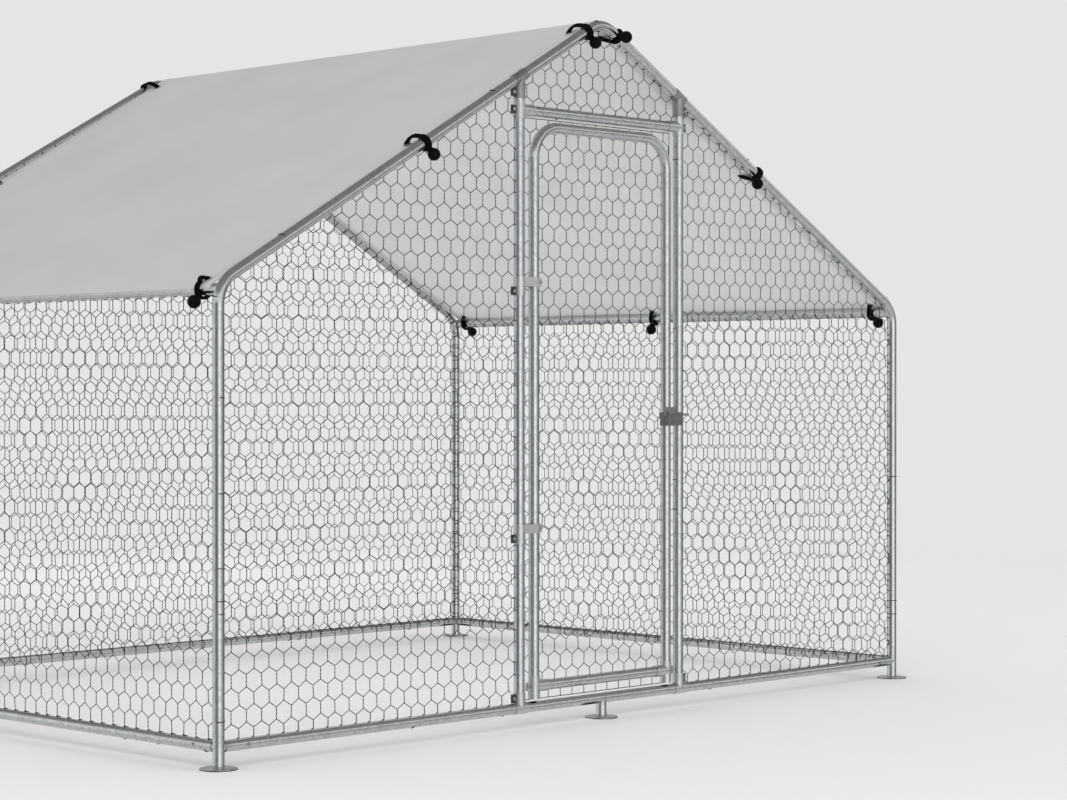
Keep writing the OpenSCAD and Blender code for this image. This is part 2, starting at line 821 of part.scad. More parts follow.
module front_net(hinges)
    net(front_outline(front_inset), front_outline(front_inset + net_wire)) {
        flange_notch(header_z - flange_h / 2, rafter_z(door_post_x));
        flange_notch(base_z, base_z + base_flange_rise + flange_h / 2);
        for (z = hinges) flange_notch(z - hinge_band_h / 2, z + hinge_band_h * 3 / 2 + seat_gap);
        rafter_notch(tie_low_x);
    }

module front_left_net() color(net_grey) gable(-1) front_net(hinge_heights);
module front_right_net() color(net_grey) gable(-1) mirror([1, 0, 0]) front_net([]);

module transom_net()
    color(net_grey)
        gable(-1)
            net(transom_outline(front_inset), transom_outline(front_inset + net_wire)) {
                rafter_notch(tie_high_x);
                mirror([1, 0]) rafter_notch(tie_high_x);
            }

module rear_net()
    color(net_grey)
        gable(1)
            net(rear_outline(plain_inset), rear_outline(plain_inset + net_wire))
                for (x = [tie_low_x, tie_high_x]) {
                    rafter_notch(x);
                    mirror([1, 0]) rafter_notch(x);
                }

module wall_net()
    rotate(90)
        net(wall_outline(plain_inset), wall_outline(plain_inset + net_wire))
            for (p = eave_tie_shares) eave_notch(p * (run_l / 2 - tie_corner_in));

module left_wall_net() color(net_grey) translate([-gable_w / 2, 0, 0]) wall_net();
module right_wall_net() color(net_grey) translate([gable_w / 2, 0, 0]) wall_net();

module door_net()
    color(net_grey)
        gable(-1)
            translate([0, door_net_y, 0])
                net(door_outline(0), door_outline(net_wire));

// Roof cover: over the left eave rail, tangent over the ridge tube and down over the right eave rail
function cover_arc(x, z, r, from, to) = [
    for (i = [0 : cover_steps])
        let (a = from + (to - from) * i / cover_steps)
            [x + r * cos(a), z + r * sin(a)]
];

function cover_line(r) = concat(
    cover_arc(-eave_rail_x, eave_rail_z, r, 180, 90 + cover_slope),
    cover_arc(0, ridge_tube_z, r, 90 + cover_slope, 90 - cover_slope),
    cover_arc(eave_rail_x, eave_rail_z, r, 90 - cover_slope, 0));

module roof_cover()
    color(cover_grey)
        difference() {
            rotate([90, 0, 0])
                linear_extrude(height = cover_l, center = true)
                    polygon(concat(cover_line(cover_r + cover_t), backwards(cover_line(cover_r))));
            tie_places()
                at_eyelet()
                    cylinder(d = eyelet_bore_d + 2 * eyelet_wall + 2 * eyelet_gap, h = tube_d, center = true);
        }

// Tie places: X along the tied tube, Y in from the edge of the cover, Z square to the cover
module rafter_tie_places()
    for (end = [-1, 1])
        gable(end)
            both_sides()
                for (x = [tie_low_x, tie_high_x]) {
                    $eye_in = rafter_eye_in;
                    $eye_lift = cover_lift(x);
                    $turn_r = rafter_turn_r;
                    $ball_turn = rafter_ball_turn;
                    translate([-x, 0, rafter_z(x)]) rotate([0, -cover_slope, 0]) children();
                }

module eave_tie_places()
    both_sides()
        for (p = eave_tie_shares) {
            $eye_in = eave_eyelet_in;
            $eye_lift = cover_mid_r;
            $turn_r = eave_turn_r;
            $ball_turn = eave_ball_turn;
            translate([-eave_rail_x, p * (run_l / 2 - tie_corner_in), eave_rail_z])
                rotate([0, -cover_slope, 0])
                    rotate(-90)
                        children();
        }

module tie_places() {
    rafter_tie_places() children();
    eave_tie_places() children();
}

module at_eyelet() translate([0, $eye_in, $eye_lift]) children();

module eyelet() {
    flat = cover_t / 2 + eyelet_gap;
    difference() {
        union() {
            bar(-flat - eyelet_t, -flat, eyelet_d);
            bar(flat, flat + eyelet_t, eyelet_d);
            bar(-flat, flat, eyelet_bore_d + 2 * eyelet_wall);
        }
        bar(-flat - overrun, flat + overrun, eyelet_bore_d);
    }
}

module cover_eyelets() color(zinc) tie_places() at_eyelet() eyelet();

// Cord loop in the YZ plane: round the tube and through the eyelet, with straight runs between.
// Each ring of the cord is an angle, the centre that it turns about and its radius there.
module tie_loop() {
    eye = [$eye_in - tie_eye_r, $eye_lift];
    way = atan2(eye[1], eye[0]);
    half = acos(($turn_r - tie_eye_r) / norm(eye));
    step = (360 - 2 * half) / tie_turn_steps;
    rings = concat(
        [for (i = [0 : tie_turn_steps]) [way + half + step * i, [0, 0], $turn_r / cos(step / 2)]],
        [for (i = [0 : tie_eye_steps]) [way - half + 2 * half * i / tie_eye_steps, eye, tie_eye_r]]);
    points = [
        for (g = rings, k = [0 : tie_sides - 1])
            let (t = 360 * k / tie_sides, r = g[2] + tie_cord_d / 2 * cos(t))
                [tie_cord_d / 2 * sin(t), g[1][0] + r * cos(g[0]), g[1][1] + r * sin(g[0])]
    ];
    faces = [
        for (i = [0 : len(rings) - 1], k = [0 : tie_sides - 1], half_face = [0, 1])
            let (
                here = i * tie_sides,
                next = (i + 1) % len(rings) * tie_sides,
                side = (k + 1) % tie_sides
            )
                half_face == 0 ? [here + k, here + side, next + side] : [here + k, next + side, next + k]
    ];
    polyhedron(points, faces);
}

module tie_cords()
    color(tie_black)
        tie_places()
            for (s = [-1, 1]) translate([s * tie_pitch / 2, 0, 0]) tie_loop();

module tie_balls()
    color(tie_black)
        tie_places() {
            reach = ball_reach($turn_r);
            translate([0, -reach * cos($ball_turn), -reach * sin($ball_turn)]) sphere(d = tie_ball_d);
        }

// Fasteners
module frame_screws() {
    color(zinc)
        for (side = [-1, 1], end = [-1, 1])
            corner(side, end)
                translate([0, 0, base_z]) {
                    translate([rail_screw_x, 0, 0]) screw();
                    swap_xy() translate([rail_screw_x, 0, 0]) screw();
                }
    color(zinc)
        for (side = [-1, 1], s = joint_screws)
            corner(side, -1) eave_screw_place(run_l / 2 - s) screw();
}

module clamp_bolts()
    color(zinc) {
        header_clamp_places() flange_bolt();
        for (z = hinge_heights) collar_place(z) flange_bolt();
        hinge_side() {
            base_flange_place() flange_bolt();
            top_flange_place() flange_bolt();
        }
        latch_side() {
            base_flange_place() flange_bolt();
            top_flange_place() flange_bolt();
        }
    }

module door_bolts()
    color(zinc) {
        door_clamp_places() flange_bolt();
        for (z = hinge_heights) band_place(z) at_door_leg() flange_bolt();
    }

front_left_corner_foot();
front_right_corner_foot();
rear_left_corner_foot();
rear_right_corner_foot();
front_left_corner_post();
front_right_corner_post();
rear_left_corner_post();
rear_right_corner_post();
front_left_rafter();
front_right_rafter();
rear_left_rafter();
rear_right_rafter();
front_ridge_elbow();
rear_ridge_elbow();
ridge_tube_front();
ridge_tube_rear();
left_eave_rail_front();
left_eave_rail_rear();
right_eave_rail_front();
right_eave_rail_rear();
left_base_rail_front();
left_base_rail_rear();
right_base_rail_front();
right_base_rail_rear();
front_base_rail_left();
front_base_rail_right();
rear_base_rail_left();
rear_base_rail_right();
front_mid_foot();
hinge_post();
latch_post();
door_header();
hinge_post_top_clamp();
latch_post_top_clamp();
post_base_clamps();
header_clamps();
upper_hinge_collar();
lower_hinge_collar();
door_frame();
door_bottom_bar();
door_bar_clamps();
upper_hinge_band();
lower_hinge_band();
latch_case();
latch_bolt();
front_left_net();
front_right_net();
transom_net();
door_net();
left_wall_net();
right_wall_net();
rear_net();
roof_cover();
cover_eyelets();
tie_balls();
tie_cords();
frame_screws();
clamp_bolts();
door_bolts();
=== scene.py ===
import json
import math
import random

import bmesh
import bpy
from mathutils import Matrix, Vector, noise


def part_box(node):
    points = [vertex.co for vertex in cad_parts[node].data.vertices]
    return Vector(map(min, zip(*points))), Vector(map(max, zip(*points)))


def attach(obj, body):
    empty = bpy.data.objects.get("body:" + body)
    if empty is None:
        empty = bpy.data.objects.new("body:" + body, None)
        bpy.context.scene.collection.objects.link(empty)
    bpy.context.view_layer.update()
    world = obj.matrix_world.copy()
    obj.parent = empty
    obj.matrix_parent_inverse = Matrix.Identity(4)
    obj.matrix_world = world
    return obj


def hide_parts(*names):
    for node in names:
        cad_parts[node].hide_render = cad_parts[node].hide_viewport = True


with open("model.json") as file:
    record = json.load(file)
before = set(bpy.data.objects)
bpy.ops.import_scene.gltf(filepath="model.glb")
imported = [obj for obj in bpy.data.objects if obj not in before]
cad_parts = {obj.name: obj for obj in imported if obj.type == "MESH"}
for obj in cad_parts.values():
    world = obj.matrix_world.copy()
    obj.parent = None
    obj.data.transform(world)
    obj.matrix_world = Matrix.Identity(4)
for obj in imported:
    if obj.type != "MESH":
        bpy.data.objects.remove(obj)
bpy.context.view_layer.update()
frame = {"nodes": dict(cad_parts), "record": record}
nodes = frame["nodes"]
scene = bpy.context.scene
scene.view_settings.view_transform = "Standard"
print("frame loaded:", len(nodes), "nodes")

# the camera stands where the photograph was taken from
camera = {
    "place": (-5.398, -5.975, 0.942), "turn": (89.75, 0.0, -45.93),
    "lens": 86.2, "sensor": 36.0, "clipEnd": 100,
}


def makeCamera():
    data = bpy.data.cameras.new("camera")
    data.lens = camera["lens"]
    data.sensor_width = camera["sensor"]
    data.clip_end = camera["clipEnd"]
    obj = bpy.data.objects.new("camera", data)
    obj.location = camera["place"]
    obj.rotation_euler = [math.radians(a) for a in camera["turn"]]
    scene.collection.objects.link(obj)
    scene.camera = obj


makeCamera()


def setInputs(tree, node, sockets):
    for name, value in sockets.items():
        if isinstance(value, bpy.types.NodeSocket):
            tree.links.new(value, node.inputs[name])
        else:
            node.inputs[name].default_value = value
    return node


def addNode(tree, kind, settings, sockets):
    node = tree.nodes.new(kind)
    for name, value in settings.items():
        setattr(node, name, value)
    return setInputs(tree, node, sockets)


def objectPlace(tree):
    return addNode(tree, "ShaderNodeTexCoord", {}, {}).outputs["Object"]


def math2(tree, operation, a, b):
    return addNode(tree, "ShaderNodeMath", {"operation": operation}, {0: a, 1: b}).outputs[0]


def ramp(tree, fac, stops):
    node = addNode(tree, "ShaderNodeValToRGB", {}, {"Fac": fac})
    steps = node.color_ramp.elements
    while len(steps) < len(stops):
        steps.new(0.5)
    for step, (place, tone) in zip(steps, stops):
        step.position = place
        step.color = (tone, tone, tone, 1)
    return node.outputs["Color"]


# studio: a pale room whose walls the metal mirrors in light and dark bands, a pale floor and soft lamps.
# Walls are given by their turn from the far wall, bands by their height: 0 is straight down and 1 straight up.
studio = {
    "pale": 0.783,
    "skyLight": 0.90,
    "floorColour": (0.80, 0.80, 0.80),
    "floorReach": 9.0,
    "floorSegments": 64,
    "floorFade": (4.0, 8.5),
    "wallTurn": -camera["turn"][2] / 360,
    "walls": [
        (0.0, 0.55), (0.08, 0.25), (0.20, 0.24), (0.25, 0.45), (0.31, 0.85), (0.37, 1.45), (0.445, 1.95),
        (0.485, 1.0), (0.525, 0.20), (0.63, 0.20), (0.69, 0.95), (0.80, 1.05), (0.92, 0.70), (1.0, 0.55)],
    "wallShare": [(0.36, 0.0), (0.44, 1.0), (0.545, 1.0), (0.585, 0.0)],
    "bands": [
        (0.36, 0.80), (0.44, 0.0), (0.545, 0.0), (0.585, 1.10), (0.66, 1.10), (0.74, 0.36), (1.0, 0.30)],
    "lampAim": (0.0, 0.0, 0.9),
    "lamps": [
        {"name": "key", "place": (-5.0, -4.0, 5.0), "size": 5.0, "power": 90},
        {"name": "front", "place": (2.5, -6.5, 3.2), "size": 4.0, "power": 40},
        {"name": "rear", "place": (3.0, 6.0, 4.5), "size": 5.0, "power": 50},
        {"name": "inside", "place": (0.0, 0.0, 1.15), "size": 2.0, "power": 5},
    ],
}


def makeWorld():
    world = bpy.data.worlds.new("room")
    scene.world = world
    world.use_nodes = True
    tree = world.node_tree
    tree.nodes.clear()
    way = addNode(tree, "ShaderNodeTexCoord", {}, {}).outputs["Generated"]
    axes = addNode(tree, "ShaderNodeSeparateXYZ", {}, {0: way}).outputs
    turn = math2(tree, "ARCTAN2", axes["X"], axes["Y"])
    turn = math2(tree, "MULTIPLY_ADD", turn, 1 / (2 * math.pi))
    turn.node.inputs[2].default_value = 1 - studio["wallTurn"]
    wall = ramp(tree, math2(tree, "FRACT", turn, 0.0), studio["walls"])
    rise = math2(tree, "MULTIPLY_ADD", axes["Z"], 0.5)
    rise.node.inputs[2].default_value = 0.5
    room = math2(tree, "MULTIPLY", wall, ramp(tree, rise, studio["wallShare"]))
    room = math2(tree, "ADD", room, ramp(tree, rise, studio["bands"]))
    path = addNode(tree, "ShaderNodeLightPath", {}, {}).outputs
    seen = math2(tree, "MAXIMUM", path["Is Camera Ray"], path["Is Glossy Ray"])
    seen = math2(tree, "MAXIMUM", seen, path["Is Transmission Ray"])
    shade = addNode(tree, "ShaderNodeMix", {}, {"Factor": path["Is Glossy Ray"], "A": 1.0, "B": room})
    shade = math2(tree, "MULTIPLY", shade.outputs["Result"], studio["pale"])
    white = (1, 1, 1, 1)
    light = addNode(tree, "ShaderNodeBackground", {}, {"Color": white, "Strength": studio["skyLight"]})
    pale = addNode(tree, "ShaderNodeBackground", {}, {"Color": white, "Strength": shade})
    mixed = addNode(tree, "ShaderNodeMixShader", {}, {0: seen, 1: light.outputs[0], 2: pale.outputs[0]})
    addNode(tree, "ShaderNodeOutputWorld", {}, {"Surface": mixed.outputs[0]})


def makeFloor():
    mesh = bpy.data.meshes.new("floor")
    shape = bmesh.new()
    bmesh.ops.create_circle(
        shape, cap_ends=True, radius=studio["floorReach"], segments=studio["floorSegments"])
    shape.to_mesh(mesh)
    shape.free()
    floor = bpy.data.objects.new("floor", mesh)
    scene.collection.objects.link(floor)
    floor.visible_glossy = False
    material = bpy.data.materials.new("paleFloor")
    material.use_nodes = True
    tree = material.node_tree
    tree.nodes.clear()
    place = objectPlace(tree)
    away = addNode(tree, "ShaderNodeVectorMath", {"operation": "LENGTH"}, {0: place}).outputs["Value"]
    near, far = studio["floorFade"]
    fade = addNode(tree, "ShaderNodeMapRange", {"interpolation_type": "SMOOTHSTEP"},
                   {"Value": away, "From Min": near, "From Max": far}).outputs["Result"]
    solid = addNode(tree, "ShaderNodeBsdfDiffuse", {}, {"Color": (*studio["floorColour"], 1)})
    clear = addNode(tree, "ShaderNodeBsdfTransparent", {}, {})
    mixed = addNode(tree, "ShaderNodeMixShader", {}, {0: fade, 1: solid.outputs[0], 2: clear.outputs[0]})
    addNode(tree, "ShaderNodeOutputMaterial", {}, {"Surface": mixed.outputs[0]})
    mesh.materials.append(material)


def makeLamps():
    for lamp in studio["lamps"]:
        data = bpy.data.lights.new(lamp["name"], "AREA")
        data.shape = "DISK"
        data.size = lamp["size"]
        data.energy = lamp["power"]
        obj = bpy.data.objects.new(lamp["name"], data)
        obj.location = lamp["place"]
        aim = Vector(studio["lampAim"]) - obj.location
        obj.rotation_euler = aim.to_track_quat("-Z", "Y").to_euler()
        obj.visible_glossy = False
        obj.visible_camera = False
        scene.collection.objects.link(obj)


makeWorld()
makeFloor()
makeLamps()
print("studio set")


# effects that the finishes share
def shaderGroup(name, inputs, outputs):
    group = bpy.data.node_groups.new(name, "ShaderNodeTree")
    for label, kind in inputs:
        group.interface.new_socket(label, in_out="INPUT", socket_type="NodeSocket" + kind)
    for label, kind in outputs:
        group.interface.new_socket(label, in_out="OUTPUT", socket_type="NodeSocket" + kind)
    start = group.nodes.new("NodeGroupInput").outputs
    end = group.nodes.new("NodeGroupOutput").inputs
    return group, start, end


def addNoise(tree, vector, scale, detail, rough=0.5):
    return addNode(tree, "ShaderNodeTexNoise", {}, {
        "Vector": vector, "Scale": scale, "Detail": detail, "Roughness": rough}).outputs["Fac"]


# noises are given as scale, detail and roughness, bumps as strength and distance.
# The scale of the zinc's cloud is the finish's own.
zincLook = {
    "cloud": (5.0, 0.62), "scuff": (900.0, 3.0, 0.7),
    "crystalShare": 0.35, "toneFrom": (0.3, 0.68), "bump": (0.12, 0.0004),
}


def makeZincBloom():
    group, start, end = shaderGroup(
        "zincBloom",
        [("Vector", "Vector"), ("Crystal Scale", "Float"), ("Cloud Scale", "Float")],
        [("Crystal", "Float"), ("Cloud", "Float"), ("Scuff", "Float")])
    cells = addNode(group, "ShaderNodeTexVoronoi", {}, {
        "Vector": start["Vector"], "Scale": start["Crystal Scale"]})
    tone = addNode(group, "ShaderNodeSeparateXYZ", {}, {0: cells.outputs["Color"]}).outputs["X"]
    cloud = addNoise(group, start["Vector"], start["Cloud Scale"], *zincLook["cloud"])
    group.links.new(tone, end["Crystal"])
    group.links.new(cloud, end["Cloud"])
    group.links.new(addNoise(group, start["Vector"], *zincLook["scuff"]), end["Scuff"])
    return group


def makeWeave():
    group, start, end = shaderGroup("tapeWeave", [("Vector", "Vector")], [("Height", "Float")])
    axes = addNode(group, "ShaderNodeSeparateXYZ", {}, {0: start["Vector"]}).outputs
    crowns, cells = [], []
    for axis in "XY":
        wave = math2(group, "SINE", math2(group, "MULTIPLY", axes[axis], math.pi), 0.0)
        crowns.append(math2(group, "ABSOLUTE", wave, 0.0))
        cells.append(math2(group, "FLOOR", axes[axis], 0.0))
    over = math2(group, "FLOORED_MODULO", math2(group, "ADD", cells[0], cells[1]), 2.0)
    height = addNode(group, "ShaderNodeMix", {}, {"Factor": over, "A": crowns[0], "B": crowns[1]})
    group.links.new(height.outputs["Result"], end["Height"])
    return group


zincBloom = makeZincBloom()
tapeWeave = makeWeave()


def newMaterial(name):
    material = bpy.data.materials.new(name)
    material.use_nodes = True
    tree = material.node_tree
    return material, tree, tree.nodes["Principled BSDF"]


def useGroup(tree, group, sockets):
    return addNode(tree, "ShaderNodeGroup", {"node_tree": group}, sockets).outputs


def mixColour(tree, fac, a, b):
    node = addNode(tree, "ShaderNodeMix", {"data_type": "RGBA"}, {0: fac})
    for socket, value in ((node.inputs[6], a), (node.inputs[7], b)):
        if isinstance(value, bpy.types.NodeSocket):
            tree.links.new(value, socket)
        else:
            socket.default_value = (*value, 1)
    return node.outputs[2]


def spread(tree, value, low, high, fromLow=0.3, fromHigh=0.7):
    node = addNode(tree, "ShaderNodeMapRange", {}, {
        "Value": value, "From Min": fromLow, "From Max": fromHigh, "To Min": low, "To Max": high})
    return node.outputs["Result"]


def addBump(tree, shader, height, strength, distance):
    bump = addNode(tree, "ShaderNodeBump", {}, {
        "Height": height, "Strength": strength, "Distance": distance})
    tree.links.new(bump.outputs[0], shader.inputs["Normal"])


zincUsual = {"crystal": 300.0, "cloud": 60.0, "metal": 1.0}
zincFinishes = {
    "zincTube": {"dark": (0.53, 0.55, 0.56), "light": (0.65, 0.67, 0.68), "rough": (0.17, 0.25),
                 "crystal": 130.0, "cloud": 26.0},
    "clampZinc": {"dark": (0.58, 0.60, 0.61), "light": (0.72, 0.74, 0.75), "rough": (0.26, 0.38)},
    # painted highlight: the hinge bands' tongues are lighter than zinc, standing in for the tubes' highlights
    "bandPaintedHighlight": {"dark": (0.74, 0.76, 0.77), "light": (0.91, 0.93, 0.94), "rough": (0.26, 0.38)},
    "strapSteel": {"dark": (0.27, 0.28, 0.285), "light": (0.38, 0.39, 0.395), "rough": (0.28, 0.42),
                   "metal": 0.9},
    "plateZinc": {"dark": (0.12, 0.126, 0.13), "light": (0.27, 0.28, 0.285), "rough": (0.20, 0.32),
                  "cloud": 25.0},
    # painted shade: a near-black finish on the clamps' and collars' flanges stands in for the shadow between
    # their leaves
    "flangePaintedShade": {"dark": (0.045, 0.047, 0.048), "light": (0.085, 0.089, 0.091), "rough": (0.40, 0.55),
                    "metal": 0.5},
    "latchZinc": {"dark": (0.105, 0.11, 0.115), "light": (0.15, 0.155, 0.16), "rough": (0.42, 0.58),
                  "crystal": 320.0, "cloud": 70.0, "metal": 0.3},
    "boltZinc": {"dark": (0.42, 0.42, 0.41), "light": (0.66, 0.66, 0.64), "rough": (0.22, 0.36),
                 "crystal": 500.0, "cloud": 120.0},
    "netZinc": {"dark": (0.012, 0.013, 0.0135), "light": (0.038, 0.041, 0.042), "rough": (0.45, 0.62),
                "cloud": 22.0, "metal": 0.5},
}


def makeZinc(name):
    finish = zincUsual | zincFinishes[name]
    material, tree, shader = newMaterial(name)
    place = objectPlace(tree)
    bloom = useGroup(tree, zincBloom, {
        "Vector": place, "Crystal Scale": finish["crystal"], "Cloud Scale": finish["cloud"]})
    tone = addNode(tree, "ShaderNodeMix", {}, {
        "Factor": zincLook["crystalShare"], "A": bloom["Cloud"], "B": bloom["Crystal"]})
    tone = spread(tree, tone.outputs["Result"], 0.0, 1.0, *zincLook["toneFrom"])
    low, high = finish["rough"]
    setInputs(tree, shader, {
        "Base Color": mixColour(tree, tone, finish["dark"], finish["light"]),
        "Roughness": spread(tree, bloom["Cloud"], high, low), "Metallic": finish["metal"]})
    addBump(tree, shader, bloom["Scuff"], *zincLook["bump"])
    return material


# painted light: the cloth's underside is given a lighter colour than its top, standing in for light from below
# and through it
coverFinish = {
    "top": (0.520, 0.520, 0.527), "under": (0.775, 0.78, 0.775), "tape": 0.0024, "glow": 0.0022,
    "haze": (3.2, 6.0, 0.6), "darker": 0.965, "lighter": 1.03,
    "grooveShade": 0.72, "grooveShare": 0.16, "grooveTop": 0.8,
    "rough": (0.52, 0.66), "specular": 0.3, "bump": (0.35, 0.0003),
}


def makeCoverCloth(name, colour):
    material, tree, shader = newMaterial(name)
    flat = addNode(tree, "ShaderNodeUVMap", {"uv_map": "cut"}, {}).outputs["UV"]
    scale = 1 / coverFinish["tape"]
    tapes = addNode(tree, "ShaderNodeMapping", {}, {"Vector": flat, "Scale": (scale, scale, 1)}).outputs[0]
    weave = useGroup(tree, tapeWeave, {"Vector": tapes})
    haze = addNoise(tree, flat, *coverFinish["haze"])
    darker, lighter, grooveShade = [
        tuple(c * coverFinish[share] for c in colour) for share in ("darker", "lighter", "grooveShade")]
    # painted shade: the weave's grooves are darkened
    depth = spread(tree, weave["Height"], coverFinish["grooveShare"], 0.0, 0.0, coverFinish["grooveTop"])
    tone = mixColour(tree, spread(tree, haze, 0.0, 1.0), darker, lighter)
    setInputs(tree, shader, {
        "Base Color": mixColour(tree, depth, tone, grooveShade),
        "Roughness": spread(tree, haze, *coverFinish["rough"]),
        "Specular IOR Level": coverFinish["specular"]})
    addBump(tree, shader, weave["Height"], *coverFinish["bump"])
    return material


# daylight that comes through the cloth from its other face
def letThrough(material, reach):
    tree = material.node_tree
    setInputs(tree, tree.nodes["Principled BSDF"], {
        "Subsurface Weight": 1.0, "Subsurface Radius": (1.0, 1.0, 1.0), "Subsurface Scale": reach})


stitchFinish = {
    "fuzz": (1500.0, 2.0), "dark": (0.36, 0.36, 0.37), "light": (0.56, 0.56, 0.57),
    "rough": 0.8, "bump": (0.3, 0.0002),
}


def makeStitchThread():
    material, tree, shader = newMaterial("stitchThread")
    place = objectPlace(tree)
    fuzz = addNoise(tree, place, *stitchFinish["fuzz"])
    tone = mixColour(tree, fuzz, stitchFinish["dark"], stitchFinish["light"])
    setInputs(tree, shader, {"Base Color": tone, "Roughness": stitchFinish["rough"]})
    addBump(tree, shader, fuzz, *stitchFinish["bump"])
    return material


ballFinish = {
    "grain": (700.0, 4.0), "cloud": (60.0, 3.0),
    "dark": (0.002, 0.002, 0.002), "light": (0.006, 0.006, 0.007),
    "rough": (0.32, 0.5), "specular": 0.05, "bump": (0.15, 0.0003),
}


def makeBallPlastic():
    material, tree, shader = newMaterial("ballPlastic")
    place = objectPlace(tree)
    cloud = addNoise(tree, place, *ballFinish["cloud"])
    setInputs(tree, shader, {
        "Base Color": mixColour(tree, cloud, ballFinish["dark"], ballFinish["light"]),
        "Roughness": spread(tree, cloud, *ballFinish["rough"]),
        "Specular IOR Level": ballFinish["specular"]})
    addBump(tree, shader, addNoise(tree, place, *ballFinish["grain"]), *ballFinish["bump"])
    return material


cordFinish = {
    "braid": 0.0032, "strands": 10.0, "dark": (0.001, 0.001, 0.001), "light": (0.007, 0.007, 0.007),
    "rough": (0.85, 0.65), "specular": 0.04, "bump": (0.6, 0.0006),
}


def makeCordElastic():
    material, tree, shader = newMaterial("cordElastic")
    along = addNode(tree, "ShaderNodeAttribute", {"attribute_name": "along"}, {}).outputs["Fac"]
    across = addNode(tree, "ShaderNodeAttribute", {"attribute_name": "across"}, {}).outputs["Fac"]
    run = math2(tree, "DIVIDE", along, cordFinish["braid"])
    lap = math2(tree, "MULTIPLY", across, cordFinish["strands"])
    lay = addNode(tree, "ShaderNodeCombineXYZ", {}, {
        "X": math2(tree, "ADD", run, lap), "Y": math2(tree, "SUBTRACT", run, lap)}).outputs[0]
    braid = useGroup(tree, tapeWeave, {"Vector": lay})
    # painted shade: the braid's hollows take the darker colour
    setInputs(tree, shader, {
        "Base Color": mixColour(tree, braid["Height"], cordFinish["dark"], cordFinish["light"]),
        "Roughness": spread(tree, braid["Height"], *cordFinish["rough"], 0.0, 1.0),
        "Specular IOR Level": cordFinish["specular"]})
    addBump(tree, shader, braid["Height"], *cordFinish["bump"])
    return material


zinc = {name: makeZinc(name) for name in zincFinishes}
coverTop = makeCoverCloth("coverTop", coverFinish["top"])
# painted light: the underside is a lighter copy of the top cloth
coverUnderPaintedLight = makeCoverCloth("coverUnderPaintedLight", coverFinish["under"])
letThrough(coverUnderPaintedLight, coverFinish["glow"])
stitchThread = makeStitchThread()
ballPlastic = makeBallPlastic()
cordElastic = makeCordElastic()

finishOfSlot = {
    "galvanised_tube": zinc["zincTube"], "clamp_sheet": zinc["clampZinc"], "latch_metal": zinc["latchZinc"],
    "net_wire": zinc["netZinc"], "plated_steel": zinc["boltZinc"],
    "cover_cloth": coverTop, "tie_plastic": ballPlastic, "tie_elastic": cordElastic,
}


# lines of the frame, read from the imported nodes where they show
def middle(name):
    low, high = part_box(name)
    return (low + high) / 2


gable = {"eaveZ": 1.203, "ridgeZ": 1.995, "bendR": 0.09}
halfWidth = -middle("left_base_rail_front").x
halfLength = -middle("front_base_rail_left").y
baseZ = middle("left_base_rail_front").z
doorPostX = middle("latch_post").x
headerZ = middle("door_header").z
ridgeTubeZ = middle("ridge_tube_front").z
eaveRail = middle("right_eave_rail_front")
doorLow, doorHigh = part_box("door_frame")
tubeR = (doorHigh.y - doorLow.y) / 2
slope = math.atan2(gable["ridgeZ"] - gable["eaveZ"], halfWidth)
eaveTurn = math.pi / 2 - slope
eaveBendZ = gable["eaveZ"] - gable["bendR"] * math.tan(eaveTurn / 2)
ridgeCentreZ = gable["ridgeZ"] - gable["bendR"] / math.cos(slope)
coverSlope = math.atan2(ridgeTubeZ - eaveRail.z, eaveRail.x)


def rafterZ(x, inset=0.0):
    return gable["ridgeZ"] - abs(x) * math.tan(slope) - inset / math.cos(slope)


# the clamps' and collars' flanges are painted near black as painted shade between their leaves, the foot
# plates are darker than the tubes they sit on, and the hinge bands' tongues are painted lighter as a painted
# highlight
strapNodes = ("hinge_post_top_clamp", "latch_post_top_clamp")
collarNodes = ("upper_hinge_collar", "lower_hinge_collar")
bandNodes = ("upper_hinge_band", "lower_hinge_band")
steelNodes = (*strapNodes, "latch_bolt")
darkParts = {"sleeveT": 0.0025, "flangeTop": 0.036, "plateTop": 0.0035}


def paintPart(name, finish, isPart):
    data = nodes[name].data
    data.materials.append(finish)
    for face in data.polygons:
        if isPart(nodes[name].matrix_world @ face.center):
            face.material_index = len(data.materials) - 1


def dressFrame():
    for row in frame["record"]["subparts"]:
        data = nodes[row["node"]].data
        data.materials.clear()
        isSteel = row["node"] in steelNodes
        data.materials.append(zinc["strapSteel"] if isSteel else finishOfSlot[row["material_slot"]])
    flangeX = doorPostX + tubeR + darkParts["sleeveT"]
    zones = {name: (0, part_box(name)[0].z + darkParts["flangeTop"]) for name in strapNodes}
    zones.update({name: (0, headerZ) for name in collarNodes})
    zones["header_clamps"] = (0, gable["ridgeZ"])
    zones["post_base_clamps"] = (baseZ + tubeR + darkParts["sleeveT"], headerZ)
    # painted shade: the flanges' faces take the near-black finish
    for name, (low, high) in zones.items():
        paintPart(name, zinc["flangePaintedShade"], lambda at: abs(at.x) > flangeX and low < at.z < high)
    # painted highlight: the bands' tongues take the lighter finish
    for name in bandNodes:
        paintPart(name, zinc["bandPaintedHighlight"], lambda at: at.x > tubeR + darkParts["sleeveT"] - doorPostX)
    for name in nodes:
        if name.endswith("_foot"):
            paintPart(name, zinc["plateZinc"], lambda at: at.z < darkParts["plateTop"])


dressFrame()
print("frame dressed:", len(nodes), "nodes")


